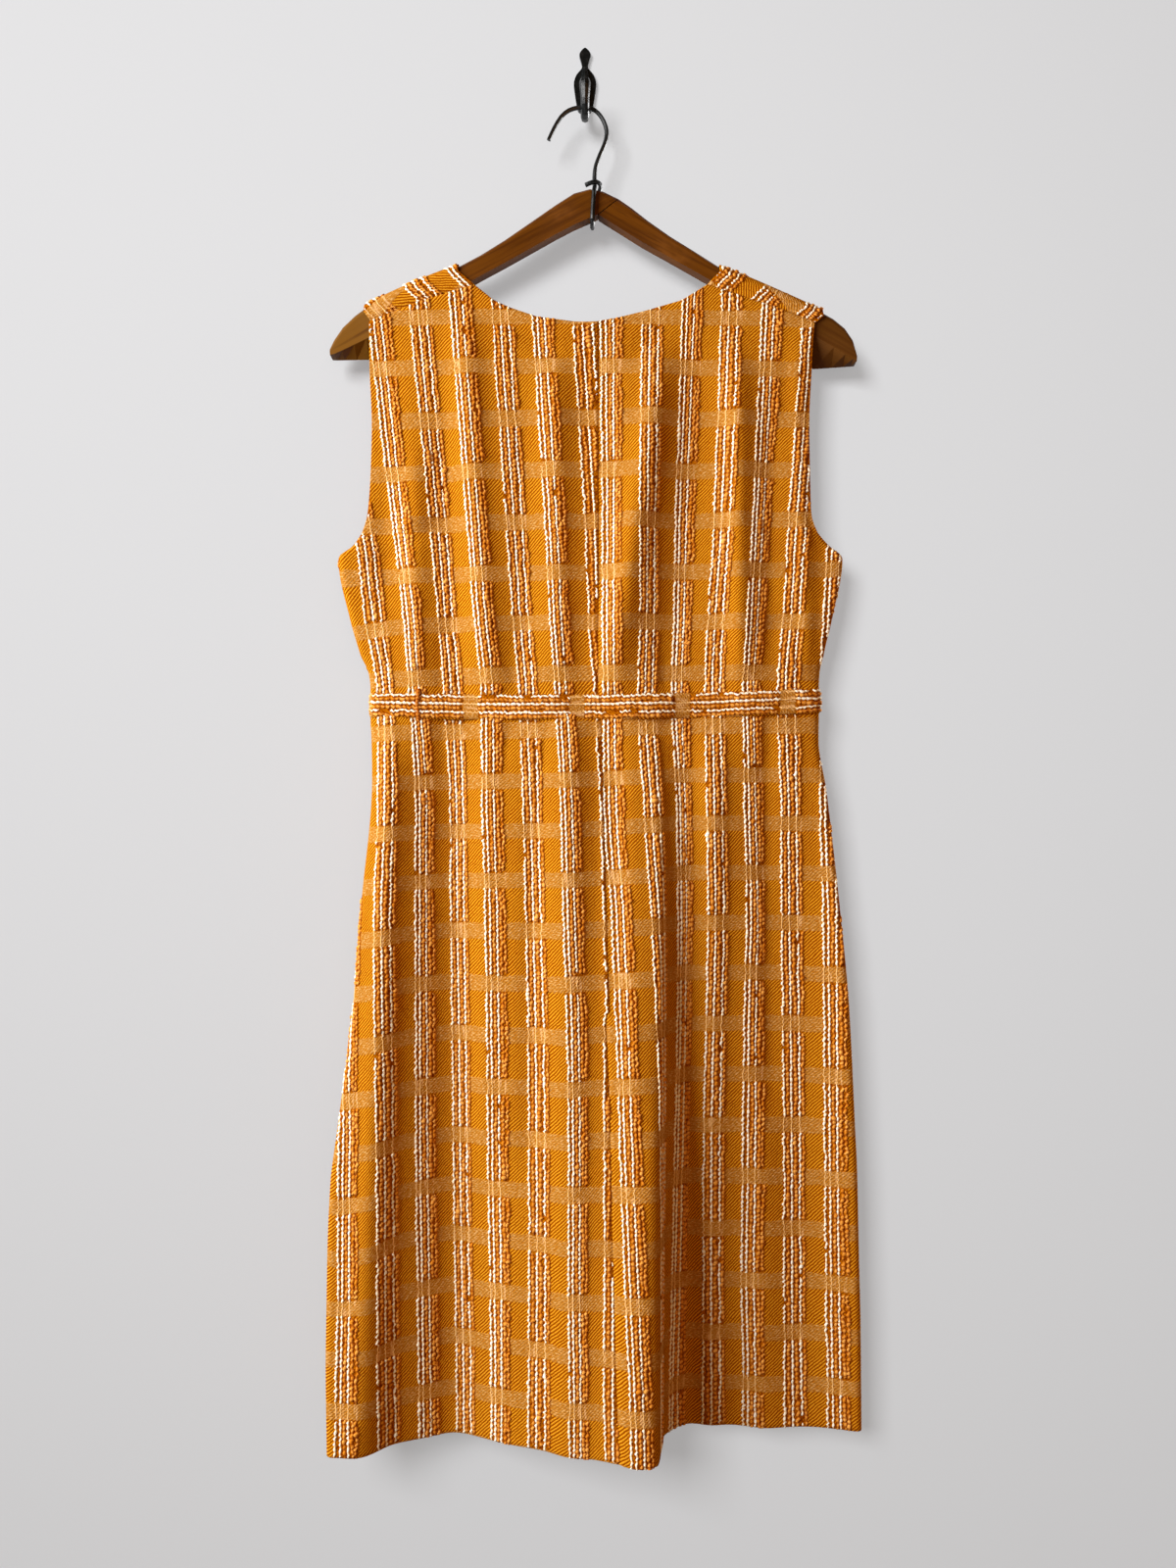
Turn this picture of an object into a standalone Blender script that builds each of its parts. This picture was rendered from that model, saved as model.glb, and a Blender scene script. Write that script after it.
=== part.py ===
"""Sleeveless shift dress hanging on a wooden hanger from a cast wall hook, its front to the wall.

The wall is the plane y = 0 and everything stands out of it towards -Y. +Z is up, and the origin lies
on the flat back of the hook's plate. Lengths in the tables are millimetres, turned to metres by MM.
"Depth" is the distance out of the wall to the middle of the cloth.
"""

import math

import bmesh
import bpy
import numpy as np

MM = 0.001

# Cloth and the gaps between sewn pieces
CLOTH = 2.0 * MM
SEAM_GAP = 0.3 * MM
SIDE_CURVE = 5.0 * MM      # how far from a side seam the panel starts to turn towards the other panel

# Heights
HEM = -1124.0 * MM
WAIST = -530.0 * MM
UNDERARM = -409.0 * MM
BUST = -300.0 * MM
SHOULDER = -195.0 * MM
SCOOP = -292.0 * MM        # lowest point of the front neckline
ARMHOLE_OPENS = 24.0 * MM  # height over which back and front part above the underarm
BELT_ZONE = (-546.0 * MM, -513.0 * MM)  # the cloth is held to one section under the belt

# Hanger
WOOD_DEPTH = 24.5 * MM     # middle of the wood, out of the wall
WOOD = 11.0 * MM
WOOD_ROUND = 5.0 * MM      # radius of the arms' upper edges
CLOTH_ON_WOOD = WOOD / 2 + 3 * SEAM_GAP + CLOTH / 2
WIRE = 3.6 * MM

# Belt
BELT_HEIGHT = 19.5 * MM
BELT_CLOTH = 2.0 * MM
BELT_GAP = 0.4 * MM
BELT_LINE = (-530.0 * MM, -532.4 * MM, -526.6 * MM)  # height of its middle: left, centre, right
BELT_ENDS = (-179.0 * MM, 195.6 * MM)

# Zip
ZIP_TAPE = (24.0 * MM, 1.2 * MM, 556.0 * MM)   # width, thickness, longest length
ZIP_TOP = -221.0 * MM
ZIP_GAP = 0.4 * MM
SLIDER = (9.0 * MM, 3.0 * MM, 12.0 * MM)
SLIDER_ROUND = 0.8 * MM
SLIDER_DROP = 8.0 * MM     # middle of the slider under the top of the tape

# Side seams and armhole edges: height, left x, right x, depth at the left seam, depth at the right
SIDES = (
    (-1124, -203.0, 226.0, 70, 34),
    (-1040, -205.0, 225.5, 64, 33),
    (-975, -205.0, 224.0, 59, 33),
    (-917, -203.5, 223.0, 55, 32),
    (-873, -198.5, 221.0, 52, 32),
    (-778, -187.5, 216.5, 45, 31),
    (-691, -181.5, 208.5, 39, 30),
    (-595, -174.0, 197.5, 33, 30),
    (-546, -175.0, 191.7, 30, 29),
    (-513, -177.7, 192.6, 29, 29),
    (-487, -185.0, 196.5, 28, 28),
    (-460, -193.0, 203.0, 27, 27),
    (-409, -203.0, 212.0, 26, 26),
    (-399, -190.5, 200.5, 26, 26),
    (-387, -182.0, 189.8, 26, 26),
    (-372, -178.0, 185.3, 26, 26),
    (-335, -175.5, 184.3, 26, 26),
    (-300, -174.7, 183.8, 26, 26),
    (-255, -176.5, 185.8, 26, 26),
    (-212, -177.3, 189.0, 26, 26),
    (-190, -184.0, 199.0, 26, 26),
)

# Lines of the back that run from shoulder to hem, crests and hollows in turn from left to right:
# x and depth at the bust, at the waist and at the hem
BACK_LINES = (
    (-190, 32.0, -178, 33.0, -204, 75.0),
    (-165, 33.0, -158, 35.5, -187, 74.0),
    (-140, 35.5, -136, 37.0, -152, 54.0),
    (-105, 33.5, -104, 36.0, -102, 43.0),
    (-65, 37.0, -60, 40.0, -54, 58.0),
    (-28, 38.0, -25, 42.5, -8, 71.0),
    (5, 35.5, 8, 40.0, 21, 82.0),
    (36, 41.0, 38, 44.0, 42, 91.0),
    (55, 39.5, 58, 43.0, 56, 84.0),
    (68, 37.5, 72, 39.5, 64, 42.0),
    (92, 35.0, 92, 36.5, 92, 22.0),
    (108, 36.0, 108, 36.5, 108, 20.5),
    (130, 38.5, 130, 39.0, 131, 28.0),
    (152, 36.0, 150, 37.5, 152, 34.0),
    (170, 34.0, 172, 35.5, 192, 35.0),
    (196, 32.0, 193, 33.0, 226, 37.5),
)

# The same for the front, which hangs between the back and the wall
FRONT_LINES = (
    (-190, 17.5, -178, 25.0, -204, 64.0),
    (-165, 14.5, -158, 20.0, -180, 45.0),
    (-120, 11.5, -125, 14.5, -140, 17.0),
    (-75, 9.5, -80, 12.5, -92, 10.5),
    (-30, 11.5, -35, 14.5, -36, 31.0),
    (10, 13.0, 5, 16.0, 14, 53.0),
    (40, 11.5, 40, 14.5, 44, 38.0),
    (75, 9.5, 80, 12.5, 82, 11.0),
    (110, 9.5, 110, 12.5, 112, 9.0),
    (150, 11.5, 150, 15.0, 156, 17.0),
    (180, 15.0, 174, 20.0, 202, 20.0),
    (200, 17.5, 193, 25.0, 226, 30.0),
)

# Centre-back seam: height, x
CENTRE_BACK = (
    (-1124, 27.0), (-1026, 24.0), (-940, 21.8), (-845, 19.7), (-753, 15.9),
    (-674, 13.6), (-547, 10.6), (-515, 8.6), (-370, 8.1), (-215, 8.1),
)
CENTRE_FRONT = 6.0 * MM

# Upper edge of the back, from the left shoulder tip over the neckline to the right: x, height
BACK_TOP = (
    (-185.0, -217.5), (-175.5, -214.1), (-136.8, -198.3), (-91.0, -184.6),
    (-74.7, -197.6), (-61.9, -203.4), (-39.7, -211.0), (-8.0, -215.2), (8.0, -215.2),
    (25.8, -212.3), (48.4, -206.6), (79.7, -197.4),
    (100.8, -184.4), (136.2, -196.4), (164.4, -205.6), (189.3, -215.6), (199.0, -219.5),
)

# Shoulder fold over the hanger and the seam below it on the back, at the neck and at the armhole:
# side, fold neck x, z, fold tip x, z, seam neck x, z, seam tip x, z, rise of the fold's middle
SHOULDERS = {
    "left": (-104.6, -164.9, -181.6, -198.1, -91.0, -184.6, -175.8, -214.1, 1.6),
    "right": (111.2, -165.3, 195.7, -202.2, 100.8, -184.4, 189.3, -215.6, 0.6),
}

# Rows of the panels: level ones up to the underarm, then shares of the way to the upper edge
LEVEL_ROWS = (
    -1124, -1066, -1008, -950, -892, -834, -776, -718, -660, -603, -546, -530,
    -513, -490, -464, -437, -409,
)
BACK_RISE = (0.05, 0.11, 0.19, 0.30, 0.44, 0.60, 0.78, 1.0)
FRONT_RISE = (-399, -387, -372, -350, -322, -292)
STRAP_ROWS = 6
FOLD_ROWS = 8
BACK_COLUMNS = (9, 9)      # from the centre to the neck corner, and from there to the side turn
FRONT_COLUMNS = 16
TURN = (62.0, 30.0, 9.0, 0.0)   # degrees round the turn at a side seam

# Hanger sections from tip to centre: top x, top z, near-bottom x, near-bottom z, far-bottom z
LEFT_ARM = (
    (-210.3, -236.0, -210.0, -241.6, -242.2),
    (-207.0, -228.0, -206.5, -240.8, -242.3),
    (-200.0, -217.8, -200.0, -238.0, -242.2),
    (-190.0, -208.2, -190.0, -233.2, -242.0),
    (-180.0, -200.8, -180.0, -228.2, -241.8),
    (-165.0, -192.4, -165.0, -220.6, -231.0),
    (-145.0, -183.8, -145.0, -209.6, -213.0),
    (-120.0, -173.8, -120.0, -195.6, -196.4),
    (-104.0, -167.4, -104.0, -186.6, -186.9),
    (-86.0, -157.8, -86.0, -176.4, -176.6),
    (-66.0, -145.4, -66.0, -165.8, -165.8),
    (-46.0, -131.6, -46.0, -154.6, -154.6),
    (-24.0, -116.4, -24.0, -142.2, -142.2),
    (-9.0, -106.8, -9.0, -134.4, -134.4),
    (4.0, -103.3, 2.0, -129.6, -129.6),
    (15.0, -105.2, 7.0, -127.4, -127.4),
    (28.6, -111.6, 10.6, -125.6, -125.6),
)
RIGHT_ARM = (
    (29.2, -112.0, 11.2, -126.2, -126.2),
    (39.0, -119.0, 27.0, -136.0, -136.0),
    (52.0, -129.4, 47.0, -148.6, -148.6),
    (70.0, -142.2, 69.0, -160.8, -160.8),
    (90.0, -154.6, 90.0, -172.6, -172.7),
    (110.5, -167.6, 110.5, -184.2, -184.4),
    (127.0, -174.4, 127.0, -193.0, -193.6),
    (150.0, -184.3, 150.0, -205.2, -209.0),
    (172.0, -194.0, 172.0, -217.0, -238.0),
    (190.0, -202.2, 190.0, -226.4, -249.6),
    (205.0, -210.6, 205.0, -235.4, -248.6),
    (214.5, -218.4, 214.5, -241.0, -247.9),
    (221.0, -228.0, 220.8, -244.8, -247.5),
    (224.4, -241.4, 223.8, -246.6, -247.3),
)

# Wire from its free end, over the wall hook, down the near side of the wood, under it, up the far
# side and across the neck: x, depth, z
WIRE_ROUTE = (
    (-30.0, 24.5, -61.8), (-25.3, 24.5, -51.6), (-19.6, 24.5, -42.4), (-13.2, 24.5, -37.2),
    (-5.6, 24.5, -35.0), (2.0, 24.5, -34.9), (8.2, 24.5, -37.2), (13.4, 24.5, -42.6),
    (17.0, 24.5, -50.0), (18.0, 24.5, -57.6), (16.0, 24.5, -65.6), (12.4, 24.5, -74.0),
    (9.2, 24.5, -82.6), (8.0, 24.5, -90.0), (7.9, 24.8, -96.5), (8.0, 27.0, -101.4),
    (7.6, 31.6, -106.0), (7.2, 32.3, -111.0), (6.6, 32.3, -120.0), (6.2, 32.3, -127.6),
    (6.1, 30.8, -131.8), (6.1, 24.5, -133.0), (6.2, 18.2, -131.8), (6.6, 16.7, -127.6),
    (8.0, 16.8, -118.0), (10.0, 16.8, -108.0), (11.4, 17.4, -102.4), (12.6, 20.4, -99.6),
    (12.4, 25.4, -98.9), (9.4, 29.4, -98.8), (5.0, 29.6, -99.6), (0.4, 28.2, -101.0),
)

# Wall hook: half widths of the plate at heights, then the arm's path: depth, z, half thickness
PLATE = (
    (27.8, 0.6), (25.4, 3.2), (22.2, 4.8), (18.6, 4.0), (12.2, 2.4), (9.0, 3.8),
    (5.0, 7.2), (-1.2, 9.4), (-8.0, 9.0), (-22.0, 6.8), (-25.6, 5.0), (-27.0, 1.6),
)
PLATE_THICK = 3.6 * MM
HOOK_ARM = (
    (3.0, 11.0, 2.2), (4.6, 2.0, 3.2), (6.0, -10.0, 3.4), (7.6, -22.0, 3.4), (10.4, -32.0, 3.4),
    (15.6, -38.6, 3.5), (23.0, -40.7, 3.6), (30.0, -38.4, 3.5), (34.4, -32.4, 3.6),
    (36.0, -26.0, 4.4), (36.4, -21.6, 4.7), (36.4, -18.2, 3.6),
)


def smooth_table(rows, column, at):
    """Read a column of a table at given heights (column 0) through a curve that never overshoots:
    a cubic Hermite curve whose slopes are the harmonic means of the slopes beside each row."""
    table = sorted(rows)
    place = np.array([row[0] for row in table], float) * MM
    value = np.array([row[column] for row in table], float) * MM
    return hermite(place, value, at)


def hermite(place, value, at):
    """Monotone cubic through (place, value), read at the points asked for."""
    step = np.diff(place)
    slope = np.diff(value) / step
    inner = np.zeros_like(value)
    same = slope[:-1] * slope[1:] > 0
    both = np.where(same, slope[:-1] + slope[1:], 1.0)
    inner[1:-1] = np.where(same, 2 * slope[:-1] * slope[1:] / both, 0.0)
    inner[0], inner[-1] = slope[0], slope[-1]
    at = np.clip(np.asarray(at, float), place[0], place[-1])
    i = np.clip(np.searchsorted(place, at) - 1, 0, len(step) - 1)
    t = (at - place[i]) / step[i]
    h = step[i]
    return (
        (1 + 2 * t) * (1 - t) ** 2 * value[i]
        + t * (1 - t) ** 2 * h * inner[i]
        + t * t * (3 - 2 * t) * value[i + 1]
        + t * t * (t - 1) * h * inner[i + 1]
    )


def held(z):
    """Height at which the section is read: one height all through the belt's zone."""
    low, high = BELT_ZONE
    return WAIST if low <= z <= high else z


def side_x(side, z):
    """Where the side seam or the armhole's edge lies."""
    return float(smooth_table(SIDES, 1 if side == "left" else 2, held(z)))


def side_depth(side, z):
    """Depth at which back and front meet."""
    return float(smooth_table(SIDES, 3 if side == "left" else 4, held(z)))


def centre_back(z):
    return float(smooth_table(CENTRE_BACK, 1, z))


def ease(t):
    """Smooth step from 0 to 1."""
    t = min(max(t, 0.0), 1.0)
    return t * t * (3 - 2 * t)


def free_depth(lines, on_wood, x, z):
    """Depth of a panel away from its side seams: its lines at this height, joined smoothly.
    From the waist down the folds open in a straight line; over the bust they ease to the hanger."""
    z = held(z)
    table = np.array(lines) * MM
    if z <= WAIST:
        share = (WAIST - z) / (WAIST - HEM)
        place = table[:, 2] + (table[:, 4] - table[:, 2]) * share
        depth = table[:, 3] + (table[:, 5] - table[:, 3]) * share
    else:
        share = ease((z - WAIST) / (BUST - WAIST))
        place = table[:, 2] + (table[:, 0] - table[:, 2]) * share
        depth = table[:, 3] + (table[:, 1] - table[:, 3]) * share
        lift = ease((z - BUST) / (SHOULDER - BUST))
        depth = depth + (on_wood - depth) * lift
    return hermite(place, depth, x)


def panel_depth(face, x, z):
    """Depth of the back or the front at x, z: free depth, turned in a quarter ellipse at the side
    seams below the underarm so that both panels meet square."""
    x = np.asarray(x, float)
    back = face == "back"
    lines = BACK_LINES if back else FRONT_LINES
    on_wood = WOOD_DEPTH + (CLOTH_ON_WOOD if back else -CLOTH_ON_WOOD)
    free = free_depth(lines, on_wood, x, z)
    middle = centre_back(z)
    seam = np.where(x < middle, side_depth("left", z), side_depth("right", z))
    seam = seam + (0.5 if back else -0.5) * SEAM_GAP
    edge = np.where(x < middle, x - side_x("left", z), side_x("right", z) - x)
    near = np.clip(edge / SIDE_CURVE, 0.0, 1.0)
    turned = seam + (free - seam) * np.sqrt(1 - (1 - near) ** 2)
    closed = 1 - ease((z - UNDERARM) / ARMHOLE_OPENS)
    return free + (turned - free) * closed


def shares_to_x(face, side, middle, shares, z):
    """x of each share of the cloth's width between the middle line and the start of the side turn,
    measured along the section, followed by the points round the turn."""
    outer = side_x(side, z)
    sign = -1 if side == "left" else 1
    inner_end = outer - sign * SIDE_CURVE
    fine = np.linspace(middle, inner_end, 240)
    depth = panel_depth(face, fine, z)
    run = np.concatenate([[0.0], np.cumsum(np.hypot(np.diff(fine), np.diff(depth)))])
    flat = np.interp(np.asarray(shares) * run[-1], run, fine)
    turn = [outer - sign * SIDE_CURVE * (1 - math.cos(math.radians(a))) for a in TURN]
    return list(flat) + turn


def back_shares(side):
    """Shares of the half back's columns, with one column on the neck corner."""
    corner = SHOULDERS[side][4] * MM
    z = SHOULDERS[side][5] * MM
    middle = centre_back(z)
    span = side_x(side, z) - (-1 if side == "left" else 1) * SIDE_CURVE - middle
    share = (corner - middle) / span
    near, far = BACK_COLUMNS
    return [share * i / near for i in range(near)] + [
        share + (1 - share) * i / far for i in range(far + 1)
    ]


def back_rows(side):
    """Rows of points of one half of the back, from hem to neckline and shoulder seam."""
    sign = -1 if side == "left" else 1
    shares = back_shares(side)

    def row_x(z):
        middle = centre_back(z) + sign * 0.5 * SEAM_GAP
        return shares_to_x("back", side, middle, shares, z)

    rows = []
    for level in LEVEL_ROWS:
        z = level * MM
        rows.append([(x, z) for x in row_x(z)])
    count = len(shares) + len(TURN)
    tops = []
    for i in range(count):
        z = BACK_TOP[3][1] * MM
        for _ in range(6):
            x = row_x(z)[i]
            z = float(np.interp(x, [p[0] * MM for p in BACK_TOP], [p[1] * MM for p in BACK_TOP]))
        tops.append(z - SEAM_GAP)
    for share in BACK_RISE:
        heights = [UNDERARM + (top - UNDERARM) * share for top in tops]
        rows.append([(row_x(z)[i], z) for i, z in enumerate(heights)])
    return [[(x, -float(panel_depth("back", x, z)), z) for x, z in row] for row in rows]


def front_rows(side):
    """Rows of points of one half of the front: level rows, the strap beside the scooped neckline,
    the fold over the hanger, and the strip down to the shoulder seam on the back."""
    sign = -1 if side == "left" else 1
    shares = [i / FRONT_COLUMNS for i in range(FRONT_COLUMNS + 1)]
    rows = []
    for level in LEVEL_ROWS + FRONT_RISE:
        z = level * MM
        xs = shares_to_x("front", side, CENTRE_FRONT, shares, z)
        rows.append([(x, -float(panel_depth("front", x, z)), z) for x in xs])
    neck_x, neck_z, tip_x, tip_z, seam_x, _, end_x, _, bow = (
        value * MM for value in SHOULDERS[side]
    )
    across = [abs(p[0] - rows[-1][0][0]) for p in rows[-1]]
    across = [value / across[-1] for value in across]
    drop = CLOTH / 2 + CLOTH_ON_WOOD
    flare = tip_x - side_x(side, tip_z - drop)
    for i in range(1, STRAP_ROWS + 1):
        angle = math.pi / 2 * i / STRAP_ROWS
        inner = (
            CENTRE_FRONT + (neck_x - CENTRE_FRONT) * math.sin(angle),
            SCOOP + (neck_z - drop - SCOOP) * (1 - math.cos(angle)),
        )
        z_out = SCOOP + (tip_z - drop - SCOOP) * i / STRAP_ROWS
        outer = (side_x(side, z_out) + flare * (i / STRAP_ROWS) ** 3, z_out)
        row = []
        for share in across:
            x = inner[0] + (outer[0] - inner[0]) * share
            z = inner[1] + (outer[1] - inner[1]) * share
            z += bow * 4 * share * (1 - share) * i / STRAP_ROWS
            row.append((x, -float(panel_depth("front", x, z)), z))
        rows.append(row)
    last = [(p[0], p[2]) for p in rows[-1]]
    for i in range(1, FOLD_ROWS + 1):
        angle = math.pi * i / FOLD_ROWS
        rows.append([
            (
                x,
                -(WOOD_DEPTH - CLOTH_ON_WOOD * math.cos(angle)),
                z + CLOTH_ON_WOOD * math.sin(angle),
            )
            for x, z in last
        ])
    for share in (0.5, 1.0):
        row = []
        for (x, z), along in zip(last, across):
            x_seam = seam_x + (end_x - seam_x) * along
            z_seam = float(np.interp(
                x_seam, [p[0] * MM for p in BACK_TOP], [p[1] * MM for p in BACK_TOP]
            ))
            row.append((
                x + (x_seam - x) * share,
                -(WOOD_DEPTH + CLOTH_ON_WOOD),
                z + (z_seam - z) * share,
            ))
        rows.append(row)
    return rows


def collection_of(name):
    collection = bpy.data.collections.new(name)
    bpy.context.scene.collection.children.link(collection)
    return collection


def finish_of(name, colour, roughness, metallic=0.0):
    """A Principled material with one colour, roughness and metallic value."""
    material = bpy.data.materials.new(name)
    material.use_nodes = True
    shader = material.node_tree.nodes["Principled BSDF"]
    shader.inputs["Base Color"].default_value = (*colour, 1.0)
    shader.inputs["Roughness"].default_value = roughness
    shader.inputs["Metallic"].default_value = metallic
    material.diffuse_color = (*colour, 1.0)
    return material


def place(name, mesh, material, collection):
    obj = bpy.data.objects.new(name, mesh)
    collection.objects.link(obj)
    mesh.materials.append(material)
    mesh.shade_smooth()
    return obj


def sheet_mesh(name, grids, close=False):
    """One mesh from grids of points. Edges that grids share are merged; a closed grid joins its
    last column to its first."""
    shape = bmesh.new()
    for rows in grids:
        lines = [[shape.verts.new(point) for point in row] for row in rows]
        columns = len(lines[0])
        for low, high in zip(lines, lines[1:]):
            for i in range(columns if close else columns - 1):
                j = (i + 1) % columns
                shape.faces.new((low[i], low[j], high[j], high[i]))
    bmesh.ops.remove_doubles(shape, verts=shape.verts, dist=0.00002)
    bmesh.ops.recalc_face_normals(shape, faces=shape.faces)
    mesh = bpy.data.meshes.new(name)
    shape.to_mesh(mesh)
    shape.free()
    return mesh


def thicken(obj, thickness):
    """Give a sheet its wall, half of it on each side."""
    wall = obj.modifiers.new("Wall", "SOLIDIFY")
    wall.thickness = thickness
    wall.offset = 0.0
    wall.use_rim = True


def ring_section(z):
    """Closed section of the dress at a height, anticlockwise from the centre back seen from above:
    the right half of the back, the front from right to left, the left half of the back."""
    points = []
    for face, side, turn_back in (
        ("back", "right", False), ("front", "right", True),
        ("front", "left", False), ("back", "left", True),
    ):
        if face == "back":
            middle, shares = centre_back(z), back_shares(side)
        else:
            middle, shares = CENTRE_FRONT, [i / FRONT_COLUMNS for i in range(FRONT_COLUMNS + 1)]
        xs = shares_to_x(face, side, middle, shares, z)
        run = [(x, float(panel_depth(face, x, z))) for x in xs]
        points += run[::-1] if turn_back else run
    kept = [points[0]]
    for point in points[1:]:
        if math.dist(point, kept[-1]) > 2 * SEAM_GAP:
            kept.append(point)
    if math.dist(kept[0], kept[-1]) < 2 * SEAM_GAP:
        kept.pop()
    return kept


def moved_out(section, distance):
    """The section's points moved outwards along the mean of the normals beside them."""
    ring = np.array(section)
    along = np.roll(ring, -1, axis=0) - ring
    normal = np.stack([along[:, 1], -along[:, 0]], axis=1)
    normal /= np.linalg.norm(normal, axis=1)[:, None]
    mean = normal + np.roll(normal, 1, axis=0)
    mean /= np.linalg.norm(mean, axis=1)[:, None]
    reach = distance / np.maximum(0.6, (mean * normal).sum(axis=1))
    area = 0.5 * np.sum(
        ring[:, 0] * np.roll(ring[:, 1], -1) - np.roll(ring[:, 0], -1) * ring[:, 1]
    )
    return ring + mean * reach[:, None] * (1 if area > 0 else -1)


def belt_middle(x, on_back):
    """Height of the belt's middle line: it sags between its ends on the back and is straight in front."""
    left, middle, right = BELT_LINE
    start, end = BELT_ENDS
    t = (x - start) / (end - start)
    straight = left + (right - left) * t
    sag = 4 * t * (1 - t) * (middle - (left + right) / 2)
    return straight + (sag if on_back else 0.0)


def make_dress(collection, fabric):
    for side in ("left", "right"):
        mesh = sheet_mesh("back_" + side, [back_rows(side)])
        thicken(place("back_" + side, mesh, fabric, collection), CLOTH)
    mesh = sheet_mesh("front", [front_rows("left"), front_rows("right")])
    thicken(place("front", mesh, fabric, collection), CLOTH)


def make_belt(collection, fabric):
    section = ring_section(WAIST)
    out = moved_out(section, CLOTH / 2 + BELT_GAP + BELT_CLOTH / 2)
    rows = []
    for share in (-0.5, 0.0, 0.5):
        row = []
        for (x, depth), (_, cloth_depth) in zip(out, section):
            on_back = cloth_depth > side_depth("left" if x < 0 else "right", WAIST)
            row.append((x, -depth, belt_middle(x, on_back) + share * BELT_HEIGHT))
        rows.append(row)
    mesh = sheet_mesh("belt", [rows], close=True)
    thicken(place("belt", mesh, fabric, collection), BELT_CLOTH)


def inside_back(z, width, behind):
    """Five points of a strip behind the back's own columns at a height, moved in along the normal."""
    columns = []
    for side in ("left", "right"):
        xs = shares_to_x("back", side, centre_back(z), back_shares(side), z)
        columns += [(x, float(panel_depth("back", x, z))) for x in xs[:8]]
    columns = np.array(sorted(columns))
    x = centre_back(z) + width * np.linspace(-0.5, 0.5, 5)
    depth = np.interp(x, columns[:, 0], columns[:, 1])
    slope = np.gradient(depth, x)
    reach = behind / np.sqrt(1 + slope ** 2)
    return list(zip(x + slope * reach, -(depth - reach), [z] * len(x)))


def make_zip(collection, tape_finish, metal_finish):
    """The tape lies on the inner face of the back, centred on the seam; the slider is on the tape."""
    width, thick, length = ZIP_TAPE
    behind = CLOTH / 2 + ZIP_GAP + thick / 2
    neckline = BACK_TOP[7][1] * MM
    heights = [level * MM for level in LEVEL_ROWS if level * MM >= ZIP_TOP - length]
    heights += [UNDERARM + (neckline - UNDERARM) * share for share in BACK_RISE[:-1]]
    rows = [inside_back(z, width, behind) for z in heights + [ZIP_TOP]]
    mesh = sheet_mesh("zip_tape", [rows])
    thicken(place("zip_tape", mesh, tape_finish, collection), thick)
    slide_wide, slide_thick, slide_tall = SLIDER
    z = ZIP_TOP - SLIDER_DROP
    x = centre_back(z)
    depth = min(
        float(panel_depth("back", x + across, z + up))
        for across in (-slide_wide, 0.0, slide_wide)
        for up in (-slide_tall, slide_tall)
    )
    gap = behind + thick / 2 + ZIP_GAP + slide_thick / 2
    shape = bmesh.new()
    bmesh.ops.create_cube(shape, size=1.0)
    bmesh.ops.scale(shape, vec=(slide_wide, slide_thick, slide_tall), verts=shape.verts)
    mesh = bpy.data.meshes.new("zip_slider")
    shape.to_mesh(mesh)
    shape.free()
    slider = place("zip_slider", mesh, metal_finish, collection)
    slider.location = (x, -depth + gap, z)
    soften(slider, SLIDER_ROUND, 2)


def soften(obj, width, segments):
    """Round the edges of a block."""
    bevel = obj.modifiers.new("Round", "BEVEL")
    bevel.width = width
    bevel.segments = segments
    bevel.limit_method = "ANGLE"
    bevel.angle_limit = math.radians(38)


def make_arm(name, sections, collection, wood):
    """A hanger arm as a loft of sections whose upper edges are quarter circles."""
    shape = bmesh.new()
    rings = []
    for section in sections:
        top_x, top_z, low_x, near_z, far_z = (value * MM for value in section)
        radius = min(WOOD_ROUND, 0.45 * (top_z - far_z))
        ring = [(low_x, -WOOD / 2, near_z)]
        for face in (-1, 1):
            for i in range(4):
                angle = math.radians(30 * i if face < 0 else 90 - 30 * i)
                y = face * (WOOD / 2 - radius + radius * math.cos(angle))
                drop = radius * (1 - math.sin(angle))
                lean = (low_x - top_x) * drop / (top_z - near_z)
                ring.append((top_x + lean, y, top_z - drop))
        ring.append((low_x, WOOD / 2, far_z))
        rings.append([shape.verts.new((x, y - WOOD_DEPTH, z)) for x, y, z in ring])
    for here, there in zip(rings, rings[1:]):
        for i in range(len(here)):
            j = (i + 1) % len(here)
            shape.faces.new((here[i], here[j], there[j], there[i]))
    shape.faces.new(rings[0])
    shape.faces.new(rings[-1][::-1])
    bmesh.ops.recalc_face_normals(shape, faces=shape.faces)
    mesh = bpy.data.meshes.new(name)
    shape.to_mesh(mesh)
    shape.free()
    place(name, mesh, wood, collection)
    mesh.set_sharp_from_angle(angle=math.radians(35))


def poly_tube(name, route, radii, resolution, collection, material):
    """A tube along a route of x, y, z points in metres, with closed ends."""
    curve = bpy.data.curves.new(name, "CURVE")
    curve.dimensions = "3D"
    curve.bevel_depth = 1.0
    curve.bevel_resolution = resolution
    curve.use_fill_caps = True
    spline = curve.splines.new("POLY")
    spline.points.add(len(route) - 1)
    for point, where, radius in zip(spline.points, route, radii):
        point.co = (*where, 1.0)
        point.radius = radius
    obj = bpy.data.objects.new(name, curve)
    collection.objects.link(obj)
    curve.materials.append(material)
    return obj


def rounded_route(points, per_span):
    """Points along a Catmull-Rom curve through the route: each span is a cubic whose end slopes are
    half the chord between the neighbours on either side."""
    p = np.array(points, float)
    p = np.vstack([2 * p[0] - p[1], p, 2 * p[-1] - p[-2]])
    t = np.arange(per_span)[:, None] / per_span
    spans = []
    for a, b, c, d in zip(p, p[1:], p[2:], p[3:]):
        spans.append(0.5 * (
            2 * b + (c - a) * t + (2 * a - 5 * b + 4 * c - d) * t ** 2
            + (3 * b - a - 3 * c + d) * t ** 3
        ))
    return np.vstack(spans + [p[-2][None, :]])


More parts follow.
